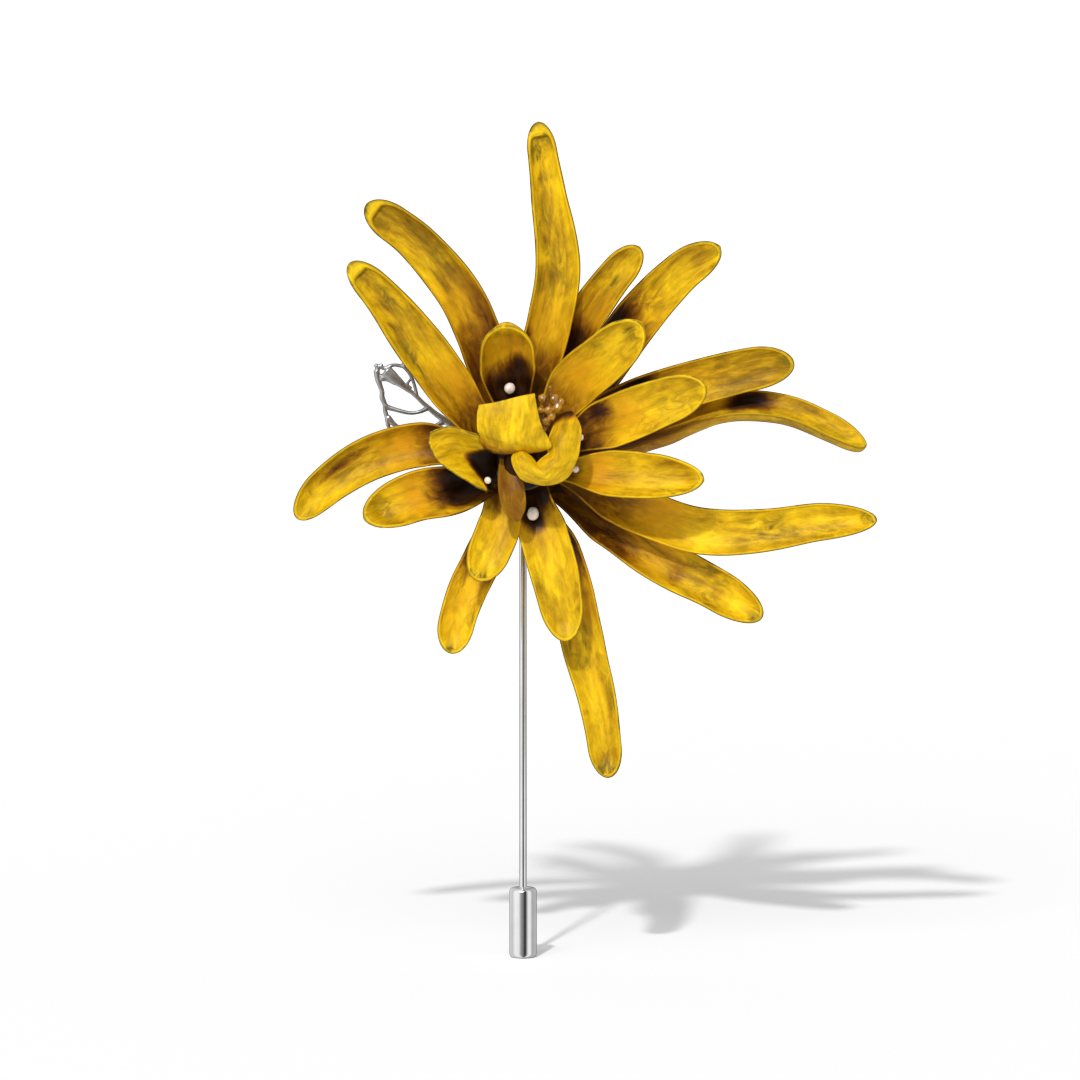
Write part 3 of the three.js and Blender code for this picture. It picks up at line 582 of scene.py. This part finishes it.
def petal_axes(row, curve, along):
    """Across the trough, and out of its open side, at each place along"""
    along = np.atleast_1d(along)
    tangent = curve.tangent(along)
    viewer = np.array([0, -1.0, 0])
    open_side = unit(viewer - tangent * (tangent @ viewer)[:, None])
    turn = np.radians(lerp(row["turn"][0], row["turn"][1], np.clip(along, 0, 1)))[:, None]
    open_side = open_side * np.cos(turn) + np.cross(tangent, open_side) * np.sin(turn)
    return np.cross(tangent, open_side), open_side


def wander(values, seed):
    """Smooth noise from -1 to 1 at numbers along a line"""
    return np.array([noise.noise(Vector((float(v), seed * 7.31, seed * 1.7))) for v in np.ravel(values)])


def petal_stations(row, length):
    """Places along the petal with their share of the half width, and whether they are round the tip"""
    tip_share, tip_length = row["tip"]
    tip_start = 1 - min(tip_length * row["size"][0] / length, 0.5)
    body = np.linspace(-ROOT_SINK / length, tip_start, BODY_STATIONS, endpoint=False)
    angle = np.linspace(0, math.pi / 2, TIP_STATIONS)
    along = np.concatenate([body, tip_start + (1 - tip_start) * np.sin(angle)])
    neck = ease(along * length / row["neck"])
    narrowing = ease((along - WIDEST_AT) / (1 - WIDEST_AT))
    width = lerp(row["root_share"], 1, neck) * lerp(1, tip_share, narrowing)
    width_before_tip = width.copy()
    width[BODY_STATIONS:] *= np.cos(angle)
    return along, width, width_before_tip


def rim_arc(start, end, open_side):
    """Points over the rolled rim from one wall's edge to the other's, and their shares of the way"""
    step = norm(end - start, axis=1)
    bulge = 0.4 * np.minimum(step, PETAL_RIM) + 0.12 * np.maximum(step - PETAL_RIM, 0)
    angles = math.pi * np.arange(1, RIM_STEPS + 1) / (RIM_STEPS + 1)
    shares = (1 - np.cos(angles)) / 2
    rows = [lerp(start, end, share) + open_side * (bulge * math.sin(angle))[:, None]
            for share, angle in zip(shares, angles)]
    return np.stack(rows, axis=1), shares


def around(outer, inner, shares):
    """Values of a ring: the outer wall, the right rim, the inner wall back again and the left rim"""
    right = lerp(outer[:, -1:], inner[:, -1:], shares[None])
    left = lerp(inner[:, :1], outer[:, :1], shares[None])
    return np.concatenate([outer, right, inner[:, ::-1], left], axis=1)


def petal_paint(row, length, mm, girth, side, is_inner, is_rim, seed):
    """The attributes that the paint reads, at each point of a petal's rings"""
    start, reach, strength = row["dark"]
    end = length - row["lip"]
    share = mm / length
    paint = {
        # dark: brown paint at the root with painted shade where the petal goes into the flower, less on the
        # back
        "dark": strength * (1 - ease((mm - start) / reach)) * (0.7 + 0.3 * is_inner),
        "olive": np.full(mm.shape, float(row["olive"])),
        "glow": np.full(mm.shape, float(row["glow"])),
        "warm": 0.5 * ease((mm - start * 0.5) / 4) * (1 - ease((mm - start - reach) / 5)),
    }
    for kind in paint:
        for place, across, long, wide, amount in row[kind + "_at"]:
            blob = np.exp(-((share - place) / long) ** 2) * np.exp(-((side - across) / wide) ** 2)
            paint[kind] = paint[kind] + amount * blob * is_inner
    # Rims less dark, and rims, trough edges and tips brighter: painted highlight where rim and tip catch
    # the light, over lighter paint
    paint["dark"] = paint["dark"] * (1 - 0.4 * is_rim * (mm > start * 0.6))
    paint["glow"] = (paint["glow"] + 0.16 * is_rim + 0.12 * np.abs(side) ** 8 * is_inner
                     + 0.3 * ease((mm - end) / 0.4) * ease((row["lip"] - 1) / 0.6)
                     + 0.12 * ease((mm - end + 2) / 2))
    flow = np.stack([mm, girth + 20 * (1 - is_inner), np.full(mm.shape, seed * 11.3)], axis=-1)
    return {"flow": flow, "shade": paint.pop("dark"), **paint}


def edge_lines(row, length, mm, side_count):
    """Where the thin dark outline runs: olive paint along the rim's outer edge, and painted shade along the
    inner side of the rim and round the inside of the trough's end
    """
    outer_part = np.zeros(side_count)
    outer_part[[0, 1, -2, -1]] = [1, 0.6, 0.6, 1]
    arc = np.array([1, 0.9, 0.45, 0.1, 0, 0, 0.15])
    inner_part = np.zeros(side_count)
    inner_part[[0, -1]] = 0.3
    body = np.concatenate([outer_part, arc, inner_part, arc[::-1]])
    at_end = np.zeros(len(body))
    at_end[side_count + RIM_STEPS - 2:2 * side_count + RIM_STEPS + 2] = 0.5
    near_end = ease((mm - length + row["lip"] + 2.5) / 2)
    hooded = 1.0 if row["hood"] < 1 else 0.4
    return body[None] + (at_end * hooded)[None] * near_end[:, None]


def petal_mesh(name, row, seed):
    """A thin trough from root to tip with a rolled rim, and the attributes that its paint reads"""
    row = {**PETAL_DEFAULTS, **row}
    curve = petal_curve(row)
    length = curve.length
    along, width, full_width = petal_stations(row, length)
    inner_along = np.where(along > 0, along * (1 - row["lip"] / length), along)
    half, depth = row["size"]
    roundness = width / full_width
    outer_half = half * width
    inner_half = np.maximum(half * full_width * roundness ** row["hood"] - PETAL_RIM * roundness, 0)
    outer_depth = np.maximum(depth * np.sqrt(width), PETAL_SHEET)
    end_depth = 0.5 if row["hood"] < 1 else 0
    run_out = lerp(end_depth, 1, ease((1 - along) * length / (row["lip"] + 1.8)))
    inner_depth = row["hollow"] * np.maximum(depth * np.sqrt(full_width) - PETAL_SHEET, 0) * run_out
    inner_depth = np.minimum(inner_depth, np.maximum(outer_depth - 0.3, 0))

    side = np.sin(np.linspace(-math.pi / 2, math.pi / 2, WALL_STEPS + 1))
    bowl = 1 - np.abs(side) ** row["bowl"]
    near = np.sign(side) * np.abs(side) ** 3

    # Unevenness of a hand-formed sheet: each side's width, the height of its rim, and soft lumps
    mm = along * length
    left_width, right_width = (1 + 0.025 * wander(mm * 0.2, seed + k) for k in (1, 2))
    left_rim, right_rim = (0.14 * wander(mm * 0.24, seed + k) for k in (3, 4))
    sway = 0.12 * wander(mm * 0.11, seed + 5) * ease(mm / 6)
    side_width = np.where(side[None] < 0, left_width[:, None], right_width[:, None])
    rim_lift = np.where(side[None] < 0, left_rim[:, None], right_rim[:, None]) * np.abs(near)[None]
    lumps = wander(np.add.outer(mm * 0.35, side * 1.3).ravel(), seed + 6).reshape(len(along), -1)
    lumps = 0.09 * lumps * bowl[None] * np.minimum(1, width)[:, None]

    def ridge_heights():
        heights = np.zeros(lumps.shape)
        for middle, start, end, tall in row["ridges"]:
            window = ease((along - start) / 0.08) * ease((end - along) / 0.08)
            bend = middle + 0.12 * wander(mm * 0.15, seed + 9)
            heights += tall * window[:, None] * np.exp(-((side[None] - bend[:, None]) / 0.09) ** 2)
        return heights

    def wall(place_along, half_widths, depths, extra):
        centre = curve.at(place_along)
        across, open_side = petal_axes(row, curve, place_along)
        lateral = side[None] * half_widths[:, None] * side_width + sway[:, None]
        height = -depths[:, None] * bowl[None] + rim_lift * np.minimum(1, width * 1.5)[:, None] + extra
        sideways, outward = across[:, None] * lateral[..., None], open_side[:, None] * height[..., None]
        return centre[:, None] + sideways + outward, open_side

    outer, _ = wall(along, outer_half, outer_depth, lumps)
    inner, inner_open = wall(inner_along, inner_half, inner_depth, lumps + ridge_heights())
    right_arc, shares = rim_arc(outer[:, -1], inner[:, -1], inner_open)
    left_arc, _ = rim_arc(inner[:, 0], outer[:, 0], inner_open)
    rings = np.concatenate([outer, right_arc, inner[:, ::-1], left_arc], axis=1)
    ring_size = rings.shape[1]

    flat = np.ones(side.shape)
    ring_mm = around(np.outer(mm, flat), np.outer(inner_along * length, flat), shares)
    girth = around(np.outer(outer_half, side), np.outer(inner_half, side), shares)
    ring_side = girth / (half * full_width)[:, None]
    walls = np.zeros((1, len(side)))
    is_inner = around(walls, walls + 1, np.minimum(1, shares * 2))
    is_rim = np.concatenate([walls, np.ones((1, RIM_STEPS))] * 2, axis=1)
    attributes = petal_paint(row, length, ring_mm, girth, ring_side, is_inner, is_rim, seed)
    attributes["edge"] = edge_lines(row, length, ring_mm[:, len(side) + RIM_STEPS], len(side))

    faces = [*ring_faces(len(along), ring_size), tuple(range(ring_size))]
    return weld(add_attributes(mesh_from(name, rings, faces), attributes))


def through(points, places):
    """A smooth line through points on the first axis, at places counted in points"""
    points = np.asarray(points, float)
    padded = np.concatenate([[2 * points[0] - points[1]], points, [2 * points[-1] - points[-2]]])
    first = np.minimum(places.astype(int), len(points) - 2)
    t = (places - first).reshape(-1, *[1] * (points.ndim - 1))
    a, b, c, d = (padded[first + k] for k in range(4))
    return b + 0.5 * t * (c - a + t * (2 * a - 5 * b + 4 * c - d + t * (3 * (b - c) + d - a)))


def length_from_start(grid):
    """How far along its first axis each point of a grid is"""
    steps = norm(np.diff(grid, axis=0), axis=-1)
    return np.concatenate([np.zeros((1, grid.shape[1])), np.cumsum(steps, axis=0)])


def sheet_mesh(name, net, seed):
    """A sheet with rounded edges through a net of points, and the attributes that its paint reads"""
    net = np.array(net, float)
    spread = (1 - np.cos(np.linspace(0, math.pi, SHEET_STEPS))) / 2
    rows = through(net, spread * (len(net) - 1))
    grid = through(rows.swapaxes(0, 1), spread * (net.shape[1] - 1)).swapaxes(0, 1)
    wave = np.array([[noise.noise(Vector(p * 0.45 + seed)) for p in line] for line in grid])
    normal = unit(np.cross(np.gradient(grid, axis=0), np.gradient(grid, axis=1)))
    grid = grid + normal * (0.22 * wave)[..., None]
    along = length_from_start(grid)
    across = length_from_start(grid.swapaxes(0, 1)).swapaxes(0, 1)
    to_edge = np.minimum(np.minimum(across, across[:, -1:] - across), along[-1:] - along)
    inside = np.clip(to_edge / (SHEET_THICKNESS / 2), 0, 1)
    half_thickness = SHEET_THICKNESS / 2 * np.sqrt(1 - (1 - inside) ** 2)
    sign = np.array([1, -1])[:, None, None]
    sides = grid + normal * (sign * half_thickness)[..., None]

    # The heart's dark is painted shade: darker the deeper a point lies in the hollow and on sides that face
    # down, with an orange band where it starts. Edges are less dark and brighter, a painted highlight, with
    # a thin dark outline.
    dark_from, dark_reach, darkest, underside_shade_strength, glow = HEART_PAINT[name]
    hollow_shade = ease((sides[..., 1] - dark_from) / dark_reach)
    underside_shade = underside_shade_strength * ease((-sign * normal[..., 2] - 0.35) / 0.4)
    rim = 1 - ease(to_edge / 0.35)
    both = np.ones(hollow_shade.shape)
    attributes = {
        "shade": np.minimum(darkest * hollow_shade + underside_shade, 1) * (1 - 0.3 * rim),
        "flow": np.stack([along * both, across + 9 * (sign < 0), seed * both], axis=-1),
        "olive": 0.5 * both,
        "glow": (glow + 0.1 * rim) * both,
        "warm": 0.7 * ease(hollow_shade * 4) * (1 - ease(hollow_shade * 2 - 0.6)),
        "edge": (1 - ease(to_edge / 0.16)) * both,
    }

    row, layer = SHEET_STEPS, SHEET_STEPS * SHEET_STEPS
    front = [(i, i + 1, i + row + 1, i + row) for i in range(layer - row) if (i + 1) % row]
    back = [tuple(i + layer for i in reversed(face)) for face in front]
    root = [(i, i + layer, i + layer + 1, i + 1) for i in range(row - 1)]
    return weld(add_attributes(mesh_from(name, sides, front + back + root), attributes))


def join_meshes(name, meshes):
    """One mesh that holds several, with their attributes"""
    bm = bmesh.new()
    for mesh in meshes:
        bm.from_mesh(mesh)
        bpy.data.meshes.remove(mesh)
    return taken_from(bm, name)


def ball_mesh(name, centre, radii, seed, lumps=0.04, subdivisions=4):
    """A slightly uneven ball"""
    bm = bmesh.new()
    bmesh.ops.create_icosphere(bm, subdivisions=subdivisions, radius=1)
    for vertex in bm.verts:
        swell = 1 + lumps * noise.noise(vertex.co * 1.6 + Vector((seed * 3.1, 0, 0)))
        vertex.co = Vector([(c + r * swell * v) * MM for c, r, v in zip(centre, radii, vertex.co)])
    return taken_from(bm, name)


def tube_mesh(name, points, radii, flat=1.0, sides=12, steps=10):
    """A tube along a curve whose radius changes, flattened from front to back"""
    curve = Curve(points)
    normal = np.array([0, 1.0, 0])
    count = steps * (len(points) - 1) + 1
    along = np.linspace(0, 1, count)
    centre, tangent = curve.at(along), curve.tangent(along)
    thick = np.interp(along, np.linspace(0, 1, len(radii)), radii)
    up = unit(normal - tangent * (tangent @ normal)[:, None])
    across = np.cross(tangent, up)
    angles = np.linspace(0, 2 * math.pi, sides, endpoint=False)
    rings = (centre[:, None] + across[:, None] * (np.cos(angles)[None] * thick[:, None])[..., None]
             + up[:, None] * (np.sin(angles)[None] * thick[:, None] * flat)[..., None])
    faces = ring_faces(count, sides)
    faces += [tuple(range(sides)), tuple((count - 1) * sides + i for i in range(sides))]
    return weld(mesh_from(name, rings, faces), 0.0001)


def fuse(mesh, voxel, smooth_steps):
    """Melts overlapping shells of a mesh into one skin. voxel is in millimetres."""
    holder = place_object(mesh.name + "_holder", mesh)
    remesh = holder.modifiers.new("fuse", "REMESH")
    remesh.mode = "VOXEL"
    remesh.voxel_size = voxel * MM
    smooth = holder.modifiers.new("smooth", "SMOOTH")
    smooth.iterations = smooth_steps
    smooth.factor = 0.5
    bpy.context.view_layer.update()
    evaluated = holder.evaluated_get(bpy.context.evaluated_depsgraph_get())
    fused = bpy.data.meshes.new_from_object(evaluated)
    fused.name = mesh.name
    bpy.data.objects.remove(holder)
    return fused


# The pieces

def make_petals():
    for kind, rows in (("outer_petal", OUTER_PETALS), ("inner_petal", INNER_PETALS)):
        for i, row in enumerate(rows):
            node = f"{kind}_{i + 1:02d}"
            mesh = petal_mesh(node + "_painted", row, seed=i + (20 if kind == "inner_petal" else 1))
            finish_piece(node + "_painted", mesh, "yellow_paint", [node])


def make_heart():
    """The curled petals of the heart round a core painted dark all over, as painted shade deep in the heart
    """
    sheets = [sheet_mesh(name, net, seed=40 + i) for i, (name, net) in enumerate(HEART_SHEETS.items())]
    radius, front, back = HEART_CORE_RADIUS, HEART_CORE_FRONT, BOSS_FRONT + 0.2
    profile = [(0, front), (radius, front), (radius, back), (0, back)]
    core = turned("heart_core", profile, HEART_CORE_BEVEL, "Y", 96)
    # The core's near-black is painted shade of the heart's depths
    unpainted = np.zeros(len(core.vertices))
    add_attributes(core, {"shade": unpainted + 0.85, "flow": np.repeat(unpainted, 3),
                          **dict.fromkeys(("olive", "glow", "warm", "edge"), unpainted)})
    mesh = join_meshes("heart_painted", [*sheets, core])
    finish_piece("heart_painted", mesh, "yellow_paint", ["heart"])


def make_beads():
    """The pearls, each resting in its petal's trough, and the last in the heart's cup"""
    centres = []
    for row in INNER_PETALS:
        if "bead" in row:
            place, to_side, height = row["bead"]
            curve = petal_curve(row)
            across, open_side = petal_axes({**PETAL_DEFAULTS, **row}, curve, place)
            centres.append(curve.at([place])[0] + across[0] * to_side + open_side[0] * height)
    for i, (centre, (radius, stretch)) in enumerate(zip([*centres, HEART_BEAD], PEARL_SIZES)):
        node = f"pearl_bead_{i + 1}"
        mesh = ball_mesh(node + "_round", centre, (radius, radius, radius * stretch), seed=i, lumps=0.05)
        finish_piece(node + "_round", mesh, "pearl", [node])


def make_stamens():
    """Short stalks from one root, each with a ball, melted together"""
    root = (2.6, -13.6, 4.0)
    tips = [((2.8, -16.4, 9.3), 0.66), ((4.4, -16.3, 9.2), 0.72), ((5.4, -16.0, 8.8), 0.5),
            ((4.9, -16.2, 7.9), 0.75), ((3.7, -16.4, 7.6), 0.68), ((3.3, -16.8, 6.1), 0.5),
            ((4.1, -16.5, 6.7), 0.55), ((2.6, -16.0, 7.6), 0.5), ((3.9, -16.2, 11.0), 0.16)]
    parts = []
    for i, (tip, radius) in enumerate(tips):
        middle = tuple(np.add(root, np.subtract(tip, root) * 0.55) + (0.2 * (-1) ** i, 0, 0.1))
        parts.append(tube_mesh(f"stalk_{i}", [root, middle, tip], [0.42, 0.3, 0.26]))
        parts.append(ball_mesh(f"ball_{i}", tip, [radius, radius, radius * 1.12], seed=60 + i, lumps=0.2,
                               subdivisions=3))
    mesh = fuse(join_meshes("stamens_cast", parts), 0.09, 3)
    finish_piece("stamens_cast", mesh, "gold_brass", ["stamens"])


def make_leaf():
    """Cast veins and a knobbly outline, melted together, with a stalk to the plate's edge"""
    veins = [
        ([(-20.9, 11.4), (-20.5, 12.2), (-19.7, 11.9), (-18.9, 12.3), (-18.2, 12.4), (-17.5, 12.3),
          (-16.7, 12.3)], [0.34, 0.3, 0.26, 0.26, 0.22, 0.26, 0.4]),
        ([(-16.9, 12.3), (-16.4, 11.6), (-16, 10.9), (-15.6, 9.9), (-15.3, 8.8), (-15.1, 7.8)],
         [0.42, 0.3, 0.24, 0.22, 0.22, 0.26]),
        ([(-19.6, 11.6), (-18.4, 10.5), (-17.5, 9.8), (-16.6, 9), (-15.9, 8.5), (-15.1, 7.8),
          (-14.2, 6.9), (-13.5, 6.3), (-12.7, 5.6), (-11.9, 5), (-10.6, 4.1), (-9.4, 3.2), (-8.1, 2.6)],
         [0.9, 0.85, 0.6, 0.38, 0.28, 0.28, 0.3, 0.34, 0.42, 0.48, 0.55, 0.6, 0.6]),
        ([(-20.3, 10.6), (-19.3, 10.6), (-18.3, 10.1), (-17.3, 9.6)], [0.5, 0.55, 0.5, 0.35]),
        ([(-16, 10.4), (-16.3, 10), (-16.5, 9.6), (-16, 9)], [0.16, 0.17, 0.2, 0.26]),
        ([(-20.9, 11.6), (-20.7, 10.4), (-20.4, 9.5), (-20.1, 8.6), (-20.1, 7.8), (-19.7, 6.7),
          (-19.7, 6), (-19.4, 4.9), (-19.2, 3.6), (-18.3, 1.9), (-16.6, 0.6), (-14.6, 0.3), (-12.6, 1.2),
          (-11.2, 2.4), (-10.2, 3.4)],
         [0.42, 0.4, 0.3, 0.36, 0.28, 0.34, 0.24, 0.32, 0.38, 0.3, 0.34, 0.28, 0.34, 0.36, 0.4]),
        ([(-19.8, 6.7), (-19.2, 6.3), (-18.4, 6.05), (-17.5, 5.8), (-16.7, 5.6), (-15.8, 5.5),
          (-14.9, 5.65), (-14.2, 5.9), (-13.6, 6.2)],
         [0.38, 0.34, 0.3, 0.28, 0.26, 0.24, 0.24, 0.28, 0.34]),
        ([(-19.3, 4.9), (-18.4, 3.9), (-17, 3.1), (-15, 2.9), (-13, 3.4), (-11.4, 4.2)],
         [0.45, 0.28, 0.24, 0.24, 0.28, 0.4]),
    ]
    parts = []
    for i, (places, radii) in enumerate(veins):
        points = [(x, LEAF_DEPTH, z) for x, z in places]
        uneven = [r * (1 + 0.12 * noise.noise(Vector((i * 5.0, k * 1.7, 0)))) for k, r in enumerate(radii)]
        parts.append(tube_mesh(f"vein_{i}", points, uneven, flat=0.75))
    knobs = [(-20.9, 12.3, 0.3), (-20.2, 12.4, 0.22), (-20.9, 11.0, 0.3), (-16.9, 12.35, 0.45)]
    for k, (x, z, r) in enumerate(knobs):
        radii = (r, r * 0.9, r)
        parts.append(ball_mesh(f"knob_{k}", (x, LEAF_DEPTH, z), radii, seed=80 + k, subdivisions=3))
    mesh = fuse(join_meshes("openwork_leaf_cast", parts), 0.085, 4)
    finish_piece("openwork_leaf_cast", mesh, "silver_metal", ["openwork_leaf"])


def make_back():
    """The plate against the lapel, the boss in front of it and the solder round the wire's upper end"""
    plate = turned("back_plate_turned", [(0, -PLATE_THICKNESS), (PLATE_RADIUS, -PLATE_THICKNESS),
                                         (PLATE_RADIUS, 0), (0, 0)], PLATE_BEVEL, "Y", 160)
    finish_piece("back_plate_turned", plate, "silver_metal", ["back_plate"])
    # The boss is dark paint, and also stands for the shade in the flower's deep centre
    boss = turned("petal_boss_turned", [(0, BOSS_FRONT), (BOSS_FRONT_RADIUS, BOSS_FRONT),
                                        (BOSS_BACK_RADIUS, BOSS_BACK), (BOSS_BACK_RADIUS, BOSS_IN_PLATE),
                                        (0, BOSS_IN_PLATE)], 0.5, "Y", 120)
    finish_piece("petal_boss_turned", boss, "dark_paint", ["petal_boss"])
    solder = turned("wire_solder", [(0, -7.6), (1.3, -7.7), (0.62, -8.4), (0.52, -9.0), (0, -9.0)],
                    0.4, "Z", 48, ON_WIRE)
    finish_piece("wire_solder", solder, "silver_metal", [])


def make_wire_and_clutch():
    """The ground wire, and the hollow barrel whose lip closes round it"""
    wire = turned("pin_wire_ground", [(0, WIRE_TIP), (WIRE_RADIUS, WIRE_TIP + WIRE_POINT_LENGTH),
                                      (WIRE_RADIUS, WIRE_TOP), (0, WIRE_TOP)], 0.3, "Z", 64, ON_WIRE)
    finish_piece("pin_wire_ground", wire, "chrome_steel", ["pin_wire"])
    top, floor = CLUTCH_BOTTOM + CLUTCH_LENGTH, CLUTCH_BOTTOM + CLUTCH_FLOOR
    under_lip = top - CLUTCH_LIP_THICKNESS
    profile = [(0, CLUTCH_BOTTOM), (CLUTCH_RADIUS, CLUTCH_BOTTOM), (CLUTCH_RADIUS, top),
               (CLUTCH_LIP_RADIUS, top), (CLUTCH_LIP_RADIUS, under_lip), (CLUTCH_BORE_RADIUS, under_lip),
               (CLUTCH_BORE_RADIUS, floor), (0, floor)]
    barrel = turned("clutch_barrel_turned", profile, 0.75, "Z", 128, ON_WIRE, steps=10)
    finish_piece("clutch_barrel_turned", barrel, "chrome_steel", ["clutch_barrel"], "clutch")
    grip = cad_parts["clutch_grip"]
    grip.data.materials.clear()
    grip.data.materials.append(MATERIALS["silicone_grip"])


# Floor, camera and light

def make_floor():
    """A wide round floor that shows only the shadows on it"""
    bm = bmesh.new()
    bmesh.ops.create_circle(bm, cap_ends=True, segments=96, radius=FLOOR_RADIUS)
    floor = place_object("floor", taken_from(bm, "floor"))
    floor.location = (0, 0, CLUTCH_BOTTOM * MM)
    floor.is_shadow_catcher = True
    floor.visible_glossy = False
    material, tree, shader = new_material("pale_floor")
    set_shader(tree, shader, Base_Color=(0.9, 0.9, 0.9, 1), Roughness=0.7)
    floor.data.materials.append(material)


def make_camera():
    data = bpy.data.cameras.new("camera")
    data.lens = LENS
    data.sensor_width = SENSOR_WIDTH
    data.clip_start, data.clip_end = 0.05, 30
    camera = place_object("camera", data)
    back = Vector((0, -math.cos(CAMERA_ELEVATION), math.sin(CAMERA_ELEVATION)))
    camera.location = Vector(CAMERA_TARGET) * MM + back * CAMERA_DISTANCE
    camera.rotation_euler = (-back).to_track_quat("-Z", "Y").to_euler()
    bpy.context.scene.camera = camera


def make_world():
    """White behind the object. Reflections see a white studio with darker bands."""
    world = bpy.data.worlds.new("studio")
    bpy.context.scene.world = world
    world.use_nodes = True
    tree = world.node_tree
    direction = add_node(tree, "SeparateXYZ", {"Vector": add_node(tree, "TexCoord").outputs["Generated"]})
    forward = add_math(tree, "MULTIPLY", direction.outputs["Y"], -1)
    azimuth = add_math(tree, "ARCTAN2", direction.outputs["X"], forward)
    share = add_scaled(tree, azimuth, 0.5 / math.pi, 0.5)
    bands = add_ramp(tree, share, [
        (0, 0.5), (0.06, 0.8), (0.22, 0.72), (0.3, 1.12), (0.4, 1.06), (0.45, 0.4), (0.5, 0.24),
        (0.53, 0.05), (0.57, 0.06), (0.6, 0.6), (0.63, 1.05), (0.68, 1.05), (0.73, 0.5), (0.86, 0.58),
        (0.95, 0.48), (1, 0.3)])
    rays = add_node(tree, "LightPath")
    seen = add_mix(tree, rays.outputs["Is Glossy Ray"], (0.46, 0.46, 0.46, 1), bands)
    seen = add_mix(tree, rays.outputs["Is Camera Ray"], seen, (1, 1, 1, 1))
    tree.links.new(seen, tree.nodes["Background"].inputs["Color"])


def make_lights():
    """A key light that draws the shadow on the floor, and a wide soft light from the same side"""
    for name, energy, spread in (("key", 1.9, 2.8), ("soft", 0.9, 40)):
        sun_data = bpy.data.lights.new(name, "SUN")
        sun_data.energy = energy
        sun_data.angle = math.radians(spread)
        sun = place_object(name, sun_data)
        sun.rotation_euler = Vector(SUN_TRAVEL).to_track_quat("-Z", "Y").to_euler()


make_camera()
make_petals()
make_heart()
make_beads()
make_stamens()
make_leaf()
make_back()
make_wire_and_clutch()
make_floor()
make_world()
make_lights()
bpy.context.scene.view_settings.view_transform = "Standard"
